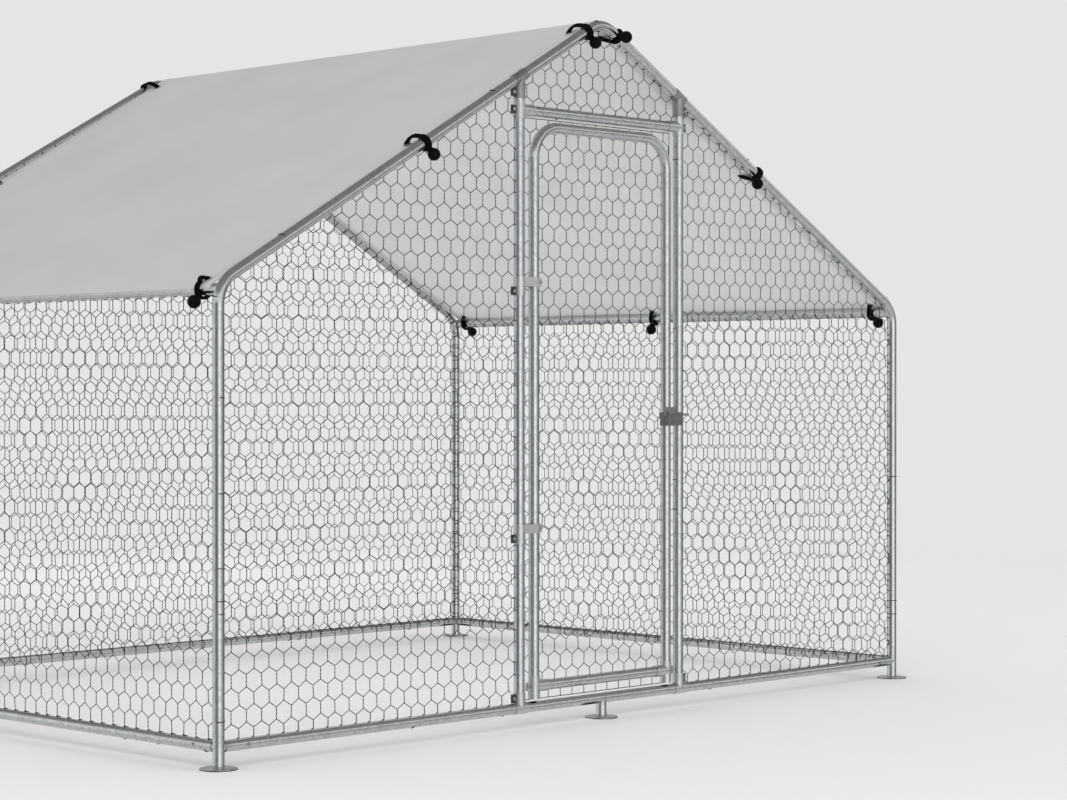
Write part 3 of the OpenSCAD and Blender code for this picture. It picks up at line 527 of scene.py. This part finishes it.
# makers for what repeats or follows a path
def geometryTree(name, inputs):
    tree = bpy.data.node_groups.new(name, "GeometryNodeTree")
    tree.interface.new_socket("Geometry", in_out="INPUT", socket_type="NodeSocketGeometry")
    for label, kind in inputs:
        tree.interface.new_socket(label, in_out="INPUT", socket_type="NodeSocket" + kind)
    tree.interface.new_socket("Geometry", in_out="OUTPUT", socket_type="NodeSocketGeometry")
    return tree, tree.nodes.new("NodeGroupInput").outputs


def endTree(tree, shape, material):
    smooth = addNode(tree, "GeometryNodeSetShadeSmooth", {}, {"Geometry": shape})
    real = addNode(tree, "GeometryNodeRealizeInstances", {}, {"Geometry": smooth.outputs[0]})
    painted = addNode(tree, "GeometryNodeSetMaterial", {}, {
        "Geometry": real.outputs[0], "Material": material})
    addNode(tree, "NodeGroupOutput", {}, {"Geometry": painted.outputs[0]})


def applyModifiers(obj):
    depsgraph = bpy.context.evaluated_depsgraph_get()
    old = obj.data
    made = bpy.data.meshes.new_from_object(obj.evaluated_get(depsgraph), depsgraph=depsgraph)
    obj.modifiers.clear()
    obj.data = made
    bpy.data.meshes.remove(old)
    return obj


def runTree(obj, tree, values):
    modifier = obj.modifiers.new("make", "NODES")
    modifier.node_group = tree
    for item in tree.interface.items_tree:
        if item.in_out == "INPUT" and item.name in values:
            modifier[item.identifier] = values[item.name]
    return applyModifiers(obj)


# two twisted wires have one flat section, given as its corners and their scale
twistSection = {"corners": 4, "scale": (1.4, 0.95, 1.0)}


def makeWireTree():
    tree, start = geometryTree("netWire", [
        ("Wire Radius", "Float"), ("Wire Sides", "Int"), ("Twist Turns", "Float"), ("Twist Steps", "Int"),
        ("Material", "Material")])
    flag = addNode(tree, "GeometryNodeInputNamedAttribute", {"data_type": "FLOAT"}, {"Name": "twisted"})
    parts = addNode(tree, "GeometryNodeSeparateGeometry", {"domain": "EDGE"}, {
        "Geometry": start["Geometry"],
        "Selection": addNode(tree, "FunctionNodeCompare", {}, {0: flag.outputs[0], 1: 0.5}).outputs[0]})
    single = addNode(tree, "GeometryNodeMeshToCurve", {}, {0: parts.outputs["Inverted"]})
    ring = addNode(tree, "GeometryNodeCurvePrimitiveCircle", {}, {
        "Resolution": start["Wire Sides"], "Radius": start["Wire Radius"]})
    wires = addNode(tree, "GeometryNodeCurveToMesh", {}, {
        "Curve": single.outputs[0], "Profile Curve": ring.outputs[0], "Fill Caps": True})
    double = addNode(tree, "GeometryNodeMeshToCurve", {}, {0: parts.outputs["Selection"]})
    stepped = addNode(tree, "GeometryNodeResampleCurve", {}, {
        "Curve": double.outputs[0], "Count": start["Twist Steps"]})
    share = addNode(tree, "GeometryNodeSplineParameter", {}, {}).outputs["Factor"]
    turned = addNode(tree, "GeometryNodeSetCurveTilt", {}, {
        "Curve": stepped.outputs[0],
        "Tilt": math2(tree, "MULTIPLY", math2(tree, "MULTIPLY", share, start["Twist Turns"]), 2 * math.pi)})
    diamond = addNode(tree, "GeometryNodeCurvePrimitiveCircle", {}, {
        "Resolution": twistSection["corners"], "Radius": start["Wire Radius"]})
    pair = addNode(tree, "GeometryNodeTransform", {}, {
        "Geometry": diamond.outputs[0], "Scale": twistSection["scale"]})
    twists = addNode(tree, "GeometryNodeCurveToMesh", {}, {
        "Curve": turned.outputs[0], "Profile Curve": pair.outputs[0], "Fill Caps": True})
    joined = tree.nodes.new("GeometryNodeJoinGeometry")
    tree.links.new(twists.outputs[0], joined.inputs[0])
    tree.links.new(wires.outputs[0], joined.inputs[0])
    endTree(tree, joined.outputs[0], start["Material"])
    return tree


def makeCordTree():
    tree, start = geometryTree("tieCord", [("Radius", "Float"), ("Sides", "Int"), ("Material", "Material")])
    line = addNode(tree, "GeometryNodeMeshToCurve", {}, {0: start["Geometry"]})
    along = addNode(tree, "GeometryNodeSplineParameter", {}, {}).outputs["Length"]
    marked = addNode(tree, "GeometryNodeStoreNamedAttribute", {"data_type": "FLOAT", "domain": "POINT"}, {
        "Geometry": line.outputs[0], "Name": "along", "Value": along})
    circle = addNode(tree, "GeometryNodeCurvePrimitiveCircle", {}, {
        "Resolution": start["Sides"], "Radius": start["Radius"]})
    across = addNode(tree, "GeometryNodeSplineParameter", {}, {}).outputs["Factor"]
    lapped = addNode(tree, "GeometryNodeStoreNamedAttribute", {"data_type": "FLOAT", "domain": "POINT"}, {
        "Geometry": circle.outputs[0], "Name": "across", "Value": across})
    cord = addNode(tree, "GeometryNodeCurveToMesh", {}, {
        "Curve": marked.outputs[0], "Profile Curve": lapped.outputs[0], "Fill Caps": True})
    endTree(tree, cord.outputs[0], start["Material"])
    return tree


def makePlaceTree():
    tree, start = geometryTree("placeByAim", [("Piece", "Object"), ("Material", "Material")])
    piece = addNode(tree, "GeometryNodeObjectInfo", {}, {"Object": start["Piece"]})
    aim = addNode(tree, "GeometryNodeInputNamedAttribute", {"data_type": "FLOAT_VECTOR"}, {"Name": "aim"})
    turned = addNode(tree, "FunctionNodeAlignRotationToVector", {"axis": "Z"}, {"Vector": aim.outputs[0]})
    placed = addNode(tree, "GeometryNodeInstanceOnPoints", {}, {
        "Points": start["Geometry"], "Instance": piece.outputs["Geometry"], "Rotation": turned.outputs[0]})
    endTree(tree, placed.outputs[0], start["Material"])
    return tree


stitchBead = {"Segments": 6, "Rings": 4, "Radius": 0.5}


def makeStitchTree():
    tree, start = geometryTree("hemStitch", [
        ("Pitch", "Float"), ("Length", "Float"), ("Thickness", "Float"), ("Material", "Material")])
    line = addNode(tree, "GeometryNodeMeshToCurve", {}, {0: start["Geometry"]})
    spaced = addNode(tree, "GeometryNodeResampleCurve", {"mode": "LENGTH"}, {
        "Curve": line.outputs[0], "Length": start["Pitch"]})
    tangent = addNode(tree, "GeometryNodeInputTangent", {}, {}).outputs[0]
    turned = addNode(tree, "FunctionNodeAlignRotationToVector", {"axis": "X"}, {"Vector": tangent})
    thread = addNode(tree, "GeometryNodeMeshUVSphere", {}, stitchBead)
    size = addNode(tree, "ShaderNodeCombineXYZ", {}, {
        "X": start["Length"], "Y": start["Thickness"], "Z": start["Thickness"]})
    placed = addNode(tree, "GeometryNodeInstanceOnPoints", {}, {
        "Points": spaced.outputs[0], "Instance": thread.outputs["Mesh"],
        "Rotation": turned.outputs[0], "Scale": size.outputs[0]})
    endTree(tree, placed.outputs[0], start["Material"])
    return tree


wireTree = makeWireTree()
cordTree = makeCordTree()
placeTree = makePlaceTree()
stitchTree = makeStitchTree()


def newObject(name, points, edges=(), faces=()):
    mesh = bpy.data.meshes.new(name)
    mesh.from_pydata(points, edges, faces)
    obj = bpy.data.objects.new(name, mesh)
    scene.collection.objects.link(obj)
    return obj


def lineObject(name, lines, closed=False):
    points, edges = [], []
    for line in lines:
        first = len(points)
        points += line
        edges += [(first + i, first + i + 1) for i in range(len(line) - 1)]
        if closed:
            edges.append((len(points) - 1, first))
    return newObject(name, points, edges)


# netting: twisted upright sides and single slanting wires, tied round the tubes
netting = {
    "pitch": 0.0490, "row": 0.0445, "side": 0.0300, "wireR": 0.00115, "wireSides": 4,
    "twistTurns": 1.5, "twistSteps": 8, "jitter": 0.0011, "wrapSteps": 9,
    "wrapTurn": (70, 112), "eaveTurn": (70, 100), "tieTurn": (185, 240), "tieShare": 0.1, "lean": 2,
    "clearR": 0.030, "bandRise": 0.026, "seed": 7, "spareColumns": 3, "spareRows": 2,
    "frontPhase": (0.012, 0.0345), "rearPhase": (0.0, 0.02),
    "leftPhase": (0.0, 0.0), "rightPhase": (0.01, 0.008),
    "doorPhase": 0.02, "doorHead": 0.012, "doorClear": 0.003,
    "notchIn": 0.034, "notchClear": 0.002, "notchSteps": 20,
}
netInset = tubeR + netting["wireR"]


def arcPoints(centre, radius, fromAngle, toAngle, steps=6):
    turn = toAngle - fromAngle
    return [(centre[0] + radius * math.cos(fromAngle + turn * i / steps),
             centre[1] + radius * math.sin(fromAngle + turn * i / steps)) for i in range(steps + 1)]


def eaveArc(side):
    centre = (halfWidth - gable["bendR"], eaveBendZ)
    points = arcPoints(centre, gable["bendR"] - netInset, 0, eaveTurn)
    return [(side * x, z) for x, z in points]


def ridgeArc():
    quarter = math.pi / 2
    return arcPoints((0, ridgeCentreZ), gable["bendR"] - netInset, quarter - slope, quarter + slope)


def rearOutline():
    x, z = halfWidth - netInset, baseZ + netInset
    return [(-x, z), (x, z)] + eaveArc(1) + ridgeArc() + eaveArc(-1)[::-1]


def sideOutline(side):
    x, z = halfWidth - netInset, baseZ + netInset
    inner = doorPostX + netInset
    points = [(inner, z), (x, z)] + eaveArc(1) + [(inner, rafterZ(inner, netInset))]
    return points if side > 0 else [(-u, v) for u, v in points[::-1]]


def transomOutline():
    x, z = doorPostX - netInset, headerZ + netInset
    top = rafterZ(x, netInset)
    return [(-x, z), (x, z), (x, top)] + ridgeArc() + [(-x, top)]


def wallOutline():
    y, low, high = halfLength - netInset, baseZ + netInset, eaveRail.z - netInset
    return [(-y, low), (y, low), (y, high), (-y, high)]


def doorOutline():
    low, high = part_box("door_net")
    foot = baseZ + tubeR + netting["doorClear"]
    head = headerZ - tubeR - netting["doorClear"]
    return [(low.x, foot), (high.x, foot), (high.x, head), (low.x, head)]


def clipLine(outline, a, b):
    first, last, firstEdge, lastEdge = 0.0, 1.0, None, None
    for i, p in enumerate(outline):
        q = outline[(i + 1) % len(outline)]
        edge = (q[0] - p[0], q[1] - p[1])
        gapA = edge[0] * (a[1] - p[1]) - edge[1] * (a[0] - p[0])
        gapB = edge[0] * (b[1] - p[1]) - edge[1] * (b[0] - p[0])
        if gapA < 0 and gapB < 0:
            return None
        if gapA < 0 or gapB < 0:
            share = gapA / (gapA - gapB)
            if gapA < 0 and share > first:
                first, firstEdge = share, i
            if gapB < 0 and share < last:
                last, lastEdge = share, i
    if first >= last:
        return None
    ends = [(a[0] + (b[0] - a[0]) * share, a[1] + (b[1] - a[1]) * share) for share in (first, last)]
    return *ends, firstEdge, lastEdge


def latticeLines(outline, phase, dice):
    us, vs = [p[0] for p in outline], [p[1] for p in outline]
    pitch, row, half = netting["pitch"], netting["row"], netting["side"] / 2
    spareColumns, spareRows = netting["spareColumns"], netting["spareRows"]
    columns = range(int(min(us) / pitch) - spareColumns, int(max(us) / pitch) + spareColumns + 1)
    rows = range(int(min(vs) / row) - spareRows, int(max(vs) / row) + spareRows + 1)
    joints = {}
    for j in rows:
        for i in columns:
            for end in (-1, 1):
                shift = [dice.uniform(-1, 1) * netting["jitter"] for _ in range(2)]
                u = (i + (j % 2) / 2) * pitch + phase[0] + shift[0]
                joints[i, j, end] = (u, j * row + phase[1] + end * half + shift[1])
    lines = []
    for j in rows:
        for i in columns:
            lines.append((joints[i, j, -1], joints[i, j, 1], True))
            for step in (0, 1):
                upper = (i + step - 1 + (j % 2), j + 1, -1)
                if upper in joints:
                    lines.append((joints[i, j, 1], joints[upper], False))
    return lines


def wrapLine(panel, outline, edge, at, dice):
    p, q = outline[edge], outline[(edge + 1) % len(outline)]
    run = Vector((q[0] - p[0], q[1] - p[1])).normalized()
    out = Vector((run.y, -run.x))
    centre = panel["point"](at[0] + out.x * netInset, at[1] + out.y * netInset)
    if edge in panel.get("shift", {}):
        centre += panel["inward"] * panel["shift"][edge]
    outWay = panel["way"](out)
    runWay = panel["way"](run)
    usual = netting["tieTurn" if dice.random() < netting["tieShare"] else "wrapTurn"]
    low, high = panel.get("wrapTurn", {}).get(edge, usual)
    turn = math.radians(dice.uniform(low, high))
    lean = dice.uniform(-1, 1) * netting["lean"] * netting["wireR"]
    points = []
    for k in range(netting["wrapSteps"] + 1):
        share = k / netting["wrapSteps"]
        a = turn * share
        around = panel["inward"] * math.sin(a) - outWay * math.cos(a)
        points.append(centre + netInset * around + runWay * lean * share)
    return points


# a wire that runs into a clamp's notch ends at the notch's edge
def cutNotch(kept, notches):
    a, b, edgeA, edgeB = kept
    for lowU, highU, lowV, highV in notches:
        inA = lowU < a[0] < highU and lowV < a[1] < highV
        inB = lowU < b[0] < highU and lowV < b[1] < highV
        if inA and inB:
            return None
        if not (inA or inB):
            continue
        near, far = (Vector(a), Vector(b)) if inB else (Vector(b), Vector(a))
        for _ in range(netting["notchSteps"]):
            half = (near + far) / 2
            if lowU < half.x < highU and lowV < half.y < highV:
                far = half
            else:
                near = half
        if inB:
            b, edgeB = tuple(near), None
        else:
            a, edgeA = tuple(near), None
    return a, b, edgeA, edgeB


def makeNet(name, node, body, panel, outline, phase, tied):
    dice = random.Random(netting["seed"] + len(name))
    lines, twisted = [], []
    for a, b, isTwist in latticeLines(outline, phase, dice):
        kept = clipLine(outline, a, b)
        kept = kept and cutNotch(kept, panel.get("notches", []))
        if kept is None:
            continue
        lines.append([panel["point"](*kept[0]), panel["point"](*kept[1])])
        twisted.append(isTwist)
        for at, edge in ((kept[0], kept[2]), (kept[1], kept[3])):
            if edge not in tied:
                continue
            if any((Vector(at) - Vector(c)).length < netting["clearR"] for c in panel.get("clamps", [])):
                continue
            lines.append(wrapLine(panel, outline, edge, at, dice))
            twisted.append(False)
    for line in panel.get("borders", []):
        lines.append([panel["point"](*p) for p in line])
        twisted.append(False)
    net = lineObject(name, lines)
    flag = net.data.attributes.new("twisted", "FLOAT", "POINT")
    flag.data.foreach_set("value", [float(t) for line, t in zip(lines, twisted) for _ in line])
    runTree(net, wireTree, {
        "Wire Radius": netting["wireR"], "Wire Sides": netting["wireSides"],
        "Twist Turns": netting["twistTurns"], "Twist Steps": netting["twistSteps"],
        "Material": zinc["netZinc"]})
    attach(net, body)
    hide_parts(node)
    print("net", name, len(net.data.polygons), "faces")


def gablePanel(end, depth=0.0):
    y = end * (halfLength - depth)
    return {"point": lambda u, v: Vector((u, y, v)), "way": lambda d: Vector((d.x, 0, d.y)),
            "inward": Vector((0, -end, 0))}


def wallPanel(side):
    x = side * halfWidth
    return {"point": lambda u, v: Vector((x, u, v)), "way": lambda d: Vector((0, d.x, d.y)),
            "inward": Vector((-side, 0, 0)),
            "shift": {2: halfWidth - eaveRail.x}, "wrapTurn": {2: netting["eaveTurn"]}}


# the flanges of the clamps and the swing of the hinge bands are kept clear of wires
def flangeNotches(side):
    spans = [(headerZ - netting["clearR"] / 2, headerZ + netting["clearR"] / 2)]
    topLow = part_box(strapNodes[0])[0].z
    spans.append((topLow, topLow + darkParts["flangeTop"]))
    spans.append((baseZ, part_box("post_base_clamps")[1].z))
    if side < 0:
        for collar, band in zip(collarNodes, bandNodes):
            spans.append((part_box(collar)[0].z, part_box(band)[1].z))
    ends = sorted((side * doorPostX, side * (doorPostX + netting["notchIn"])))
    return [(*ends, low - netting["notchClear"], high + netting["notchClear"]) for low, high in spans]


def makeNets():
    hinges = [middle(name).z + rise for name in collarNodes for rise in (0.0, netting["bandRise"])]
    fixed = [baseZ, rafterZ(doorPostX), headerZ]
    phase = netting["frontPhase"]
    for side, label in ((-1, "front_left_net"), (1, "front_right_net")):
        panel = gablePanel(-1)
        heights = fixed + (hinges if side < 0 else [])
        panel["clamps"] = [(side * (doorPostX + netInset), z) for z in heights]
        panel["notches"] = flangeNotches(side)
        outline = sideOutline(side)
        makeNet(label + "ting", label, "frame", panel, outline, phase, range(len(outline)))
    panel = gablePanel(-1)
    panel["clamps"] = [(side * (doorPostX - netInset), z) for side in (-1, 1) for z in fixed]
    outline = transomOutline()
    makeNet("transom_netting", "transom_net", "frame", panel, outline, phase, range(len(outline)))
    outline = rearOutline()
    phase = netting["rearPhase"]
    makeNet("rear_netting", "rear_net", "frame", gablePanel(1), outline, phase, range(len(outline)))
    outline = wallOutline()
    for side, label in ((-1, "left"), (1, "right")):
        phase, wall = netting[label + "Phase"], label + "_wall_net"
        makeNet(wall + "ting", wall, "frame", wallPanel(side), outline, phase, range(len(outline)))
    panel = gablePanel(-1, halfLength + middle("door_net").y)
    outline = doorOutline()
    panel["borders"] = [[a, b] for a, b in zip(outline, outline[1:] + outline[:1])]
    headPhase = (doorHigh.z - tubeR + netting["doorHead"]) % netting["row"]
    makeNet("door_netting", "door_net", "door", panel, outline, (netting["doorPhase"], headPhase), ())


makeNets()
print("netting hung")

# roof cover: one taut cloth over the ridge tube, pulled to the rafters and eave rails
cover = {
    "gap": 0.0003, "thickness": 0.0012, "arcSteps": 6, "slopeSteps": 56, "lengthSteps": 72, "sag": 0.007,
    "edgeSag": 0.35, "scallop": 0.006, "scallopReach": 0.16,
    "ripple": 0.0012, "rippleScale": (3.1, 2.3, 0.4),
    "pucker": 0.0012, "puckerReach": 0.07, "puckerEnd": 3, "puckerFolds": 7, "puckerStart": 0.02,
    "hem": 0.032, "hemThickness": 0.0006, "hemSteps": 3, "seams": (0.006, 0.027),
    "stitchPitch": 0.0075, "stitchLength": 0.0052, "stitchThickness": 0.0009,
}
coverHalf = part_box("roof_cover")[1].y
coverR = tubeR + cover["gap"] + cover["thickness"] / 2
ties = {
    "lowX": 0.700, "highX": 0.065, "cornerIn": 0.070, "edgeGap": 0.008,
    "eyeletIn": 0.042, "eaveEyeletIn": 0.026, "eyeletLift": 0.0008, "eyeletGap": 0.0006,
    "ballR": 0.0174, "cordR": 0.0042, "cordPitch": 0.0083, "cordSides": 8, "coverT": 0.0015, "gap": 0.0004,
    "rafterBallTurn": 60, "outerBallTurn": 10, "eaveBallTurn": 17, "innerBallTurn": 86,
    "hump": 0.008, "turnSteps": 24, "eyeSteps": 8, "humpSteps": 10,
    "knotR": 0.0062, "knotTurns": 2.4, "knotSteps": 40, "knotStart": -0.004, "knotReach": 0.011,
}


def slopeNormal(side):
    return Vector((side * math.sin(coverSlope), 0, math.cos(coverSlope)))


def slopeRise(side):
    return Vector((-side * math.cos(coverSlope), 0, math.sin(coverSlope)))


# on the right, the upper front ball hangs outside the rafter and the middle eave ball inside the rail
def tiePlaces():
    midR = tubeR + cover["gap"] + ties["coverT"] / 2
    turnR = tubeR + ties["gap"] + ties["cordR"]
    places = []
    for end in (-1, 1):
        for side in (-1, 1):
            for x in (ties["lowX"], ties["highX"]):
                lift = midR + (ridgeTubeZ - rafterZ(x)) * math.cos(coverSlope) - x * math.sin(coverSlope)
                isOuter = end < 0 and side > 0 and x == ties["highX"]
                places.append({
                    "at": Vector((side * x, end * halfLength, rafterZ(x))),
                    "in": Vector((0, -end, 0)), "up": slopeNormal(side),
                    "eyeIn": tubeR + ties["edgeGap"] + ties["eyeletIn"], "eyeLift": lift, "turnR": turnR,
                    "ballTurn": math.radians(ties["outerBallTurn" if isOuter else "rafterBallTurn"])})
    for side in (-1, 1):
        for share in (-1, 0, 1):
            isInner = side > 0 and share == 0
            places.append({
                "at": Vector((side * eaveRail.x, share * (halfLength - ties["cornerIn"]), eaveRail.z)),
                "in": slopeRise(side), "up": slopeNormal(side),
                "eyeIn": ties["eaveEyeletIn"], "eyeLift": midR,
                "turnR": turnR + cover["gap"] + ties["coverT"],
                "ballTurn": math.radians(ties["innerBallTurn" if isInner else "eaveBallTurn"])})
    return places


tieList = tiePlaces()
eyeletSpots = [t["at"] + t["in"] * t["eyeIn"] + t["up"] * t["eyeLift"] for t in tieList]


def innerPoints(a, b, steps):
    return [(a[0] + (b[0] - a[0]) * i / steps, a[1] + (b[1] - a[1]) * i / steps) for i in range(1, steps)]


def coverProfile():
    steps = cover["slopeSteps"]
    quarter = math.pi / 2
    left = arcPoints((-eaveRail.x, eaveRail.z), coverR, math.pi, quarter + coverSlope, cover["arcSteps"])
    top = arcPoints((0, ridgeTubeZ), coverR, quarter + coverSlope, quarter - coverSlope, cover["arcSteps"])
    right = arcPoints((eaveRail.x, eaveRail.z), coverR, quarter - coverSlope, 0, cover["arcSteps"])
    return left + innerPoints(left[-1], top[0], steps) + top + innerPoints(top[-1], right[0], steps) + right


coverLine = coverProfile()
coverRun = [0.0]
for a, b in zip(coverLine, coverLine[1:]):
    coverRun.append(coverRun[-1] + math.dist(a, b))


def coverNormal(i):
    a, b = coverLine[max(i - 1, 0)], coverLine[min(i + 1, len(coverLine) - 1)]
    run = Vector((b[0] - a[0], b[1] - a[1])).normalized()
    return Vector((-run.y, 0, run.x))


def slopeShare(i):
    first, count = cover["arcSteps"], cover["slopeSteps"]
    for start in (first, first + count + cover["arcSteps"]):
        if start <= i <= start + count:
            return (i - start) / count
    return 0.0


def coverPoint(i, y, lift=0.0):
    x, z = coverLine[i]
    share = slopeShare(i)
    edge = abs(y) / coverHalf
    slack = math.sin(math.pi * share)
    near = max(0.0, 1 - (coverHalf - abs(y)) / cover["scallopReach"])
    pull = cover["scallop"] * abs(math.sin(math.pi * 2 * share)) * near
    place = Vector((x, y - math.copysign(pull, y), z))
    drop = -cover["sag"] * slack * (1 - cover["edgeSag"] * edge ** 2)
    acrossScale, alongScale, height = cover["rippleScale"]
    drop += cover["ripple"] * slack * noise.noise(Vector((x * acrossScale, y * alongScale, height)))
    for spot in eyeletSpots:
        away = place - spot
        reach = away.length
        if reach < cover["puckerEnd"] * cover["puckerReach"]:
            fold = math.cos(cover["puckerFolds"] * math.atan2(away.y, away.x))
            fold *= math.exp(-reach / cover["puckerReach"])
            drop += cover["pucker"] * slack * fold * min(1.0, reach / cover["puckerStart"])
    return place + coverNormal(i) * (drop + lift)


def clothStrip(name, rows, columns, top, under, thickness, lift=0.0):
    points, faces, cuts = [], [], []
    for i in rows:
        for y in columns:
            points.append(coverPoint(i, y, lift))
            cuts.append((coverRun[i], y + coverHalf))
    wide = len(columns)
    for a in range(len(rows) - 1):
        for b in range(wide - 1):
            faces.append((a * wide + b, (a + 1) * wide + b, (a + 1) * wide + b + 1, a * wide + b + 1))
    strip = newObject(name, points, faces=faces)
    layer = strip.data.uv_layers.new(name="cut")
    for loop in strip.data.loops:
        layer.data[loop.index].uv = cuts[loop.vertex_index]
    strip.data.materials.append(top)
    strip.data.materials.append(under)
    for face in strip.data.polygons:
        face.use_smooth = True
    wall = strip.modifiers.new("wall", "SOLIDIFY")
    wall.thickness = thickness
    wall.offset = 0
    wall.material_offset = 1
    return strip


def evenSteps(low, high, count):
    return [low + (high - low) * k / count for k in range(count + 1)]


def makeCover():
    rows = list(range(len(coverLine)))
    cloth = clothStrip("roof_cover_cloth", rows, evenSteps(-coverHalf, coverHalf, cover["lengthSteps"]),
                       coverTop, coverUnderPaintedLight, cover["thickness"])
    applyModifiers(cloth)
    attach(cloth, "frame")
    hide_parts("roof_cover")
    hems, seams = [], []
    lift = (cover["thickness"] + cover["hemThickness"]) / 2
    for end, label in ((-1, "front"), (1, "rear")):
        columns = sorted(end * y for y in evenSteps(coverHalf - cover["hem"], coverHalf, cover["hemSteps"]))
        hem = clothStrip("cover_hem_" + label, rows, columns, coverTop, coverTop,
                         cover["hemThickness"], lift)
        applyModifiers(hem)
        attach(hem, "frame")
        hems.append(hem)
        seamLift = lift + cover["hemThickness"] / 2
        for inset in cover["seams"]:
            seams.append([coverPoint(i, end * (coverHalf - inset), seamLift) for i in rows])
    stitches = runTree(lineObject("cover_stitches", seams), stitchTree, {
        "Pitch": cover["stitchPitch"], "Length": cover["stitchLength"],
        "Thickness": cover["stitchThickness"], "Material": stitchThread})
    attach(stitches, "frame")


makeCover()


# ties: a doubled elastic loop through each eyelet and round its tube, with a ball
def tieLoop(tie, across):
    eyeR = ties["cordR"] + ties["eyeletLift"] + ties["coverT"] / 2 + ties["eyeletGap"]
    eye = Vector((tie["eyeIn"] - eyeR, tie["eyeLift"]))
    way = math.atan2(eye.y, eye.x)
    half = math.acos((tie["turnR"] - eyeR) / eye.length)
    flat = []
    for k in range(ties["turnSteps"] + 1):
        a = way + half + (2 * math.pi - 2 * half) * k / ties["turnSteps"]
        flat.append((tie["turnR"] * math.cos(a), tie["turnR"] * math.sin(a)))
    for k in range(ties["eyeSteps"] + 1):
        a = way - half + 2 * half * k / ties["eyeSteps"]
        flat.append((eye.x + eyeR * math.cos(a), eye.y + eyeR * math.sin(a)))
    start, end = Vector(flat[-1]), Vector(flat[0])
    rise = Vector((math.cos(way + half), math.sin(way + half)))
    for k in range(1, ties["humpSteps"]):
        share = k / ties["humpSteps"]
        flat.append(start.lerp(end, share) + rise * ties["hump"] * math.sin(math.pi * share))
    cross = tie["in"].cross(tie["up"])
    return [tie["at"] + tie["in"] * u + tie["up"] * v + cross * across for u, v in flat]


# the cord's ends are knotted between the loop and the ball
def tieKnot(tie, aim):
    side = tie["in"].cross(tie["up"])
    other = aim.cross(side)
    points = []
    for k in range(ties["knotSteps"] + 1):
        share = k / ties["knotSteps"]
        a = 2 * math.pi * ties["knotTurns"] * share
        out = tie["turnR"] + ties["knotStart"] + ties["knotReach"] * share
        points.append(tie["at"] + aim * out + ties["knotR"] * (side * math.cos(a) + other * math.sin(a)))
    return points


# heights of the ball's bore and rim are shares of its radius, and its mould seam bulges
ball = {"holeR": 0.0042, "lip": 0.0016, "boreEnd": 0.55, "mouth": 0.90, "rim": 0.955,
        "rings": 12, "seamBulge": 1.012, "turns": 24}


def ballMesh():
    r, hole, turns = ties["ballR"], ball["holeR"], ball["turns"]
    mouth = [(hole, ball["boreEnd"] * r), (hole, ball["mouth"] * r), (hole + ball["lip"], ball["rim"] * r)]
    profile = [(u, -w) for u, w in mouth]
    start = math.asin(-ball["mouth"])
    for k in range(ball["rings"] + 1):
        a = start + (-2 * start) * k / ball["rings"]
        bulge = ball["seamBulge"] if k == ball["rings"] // 2 else 1.0
        profile.append((r * math.cos(a) * bulge, r * math.sin(a)))
    profile += mouth[::-1]
    points = [(u * math.cos(2 * math.pi * t / turns), u * math.sin(2 * math.pi * t / turns), w)
              for u, w in profile for t in range(turns)]
    faces = []
    for a in range(len(profile) - 1):
        for t in range(turns):
            s = (t + 1) % turns
            faces.append((a * turns + t, a * turns + s, (a + 1) * turns + s, (a + 1) * turns + t))
    faces.append(tuple(range(turns))[::-1])
    faces.append(tuple((len(profile) - 1) * turns + t for t in range(turns)))
    return newObject("ball", points, faces=faces)


def makeTies():
    loops = [tieLoop(t, s * ties["cordPitch"] / 2) for t in tieList for s in (-1, 1)]
    cord = {"Radius": ties["cordR"], "Sides": ties["cordSides"], "Material": cordElastic}
    cords = runTree(lineObject("tie_cord_loops", loops, closed=True), cordTree, cord)
    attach(cords, "frame")
    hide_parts("tie_cords")
    spots, aims, knots = [], [], []
    for t in tieList:
        reach = t["turnR"] + ties["cordR"] + ties["ballR"]
        aim = -(t["in"] * math.cos(t["ballTurn"]) + t["up"] * math.sin(t["ballTurn"]))
        spots.append(t["at"] + aim * reach)
        aims.append(aim)
        knots.append(tieKnot(t, aim))
    knotted = runTree(lineObject("tie_cord_knots", knots), cordTree, cord)
    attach(knotted, "frame")
    balls = newObject("tie_ball_beads", spots)
    attribute = balls.data.attributes.new("aim", "FLOAT_VECTOR", "POINT")
    attribute.data.foreach_set("vector", [c for a in aims for c in a])
    pattern = ballMesh()
    runTree(balls, placeTree, {"Piece": pattern, "Material": ballPlastic})
    bpy.data.objects.remove(pattern)
    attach(balls, "frame")
    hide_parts("tie_balls")
    print("ties", len(tieList), "with", len(cords.data.polygons), "cord faces")


makeTies()
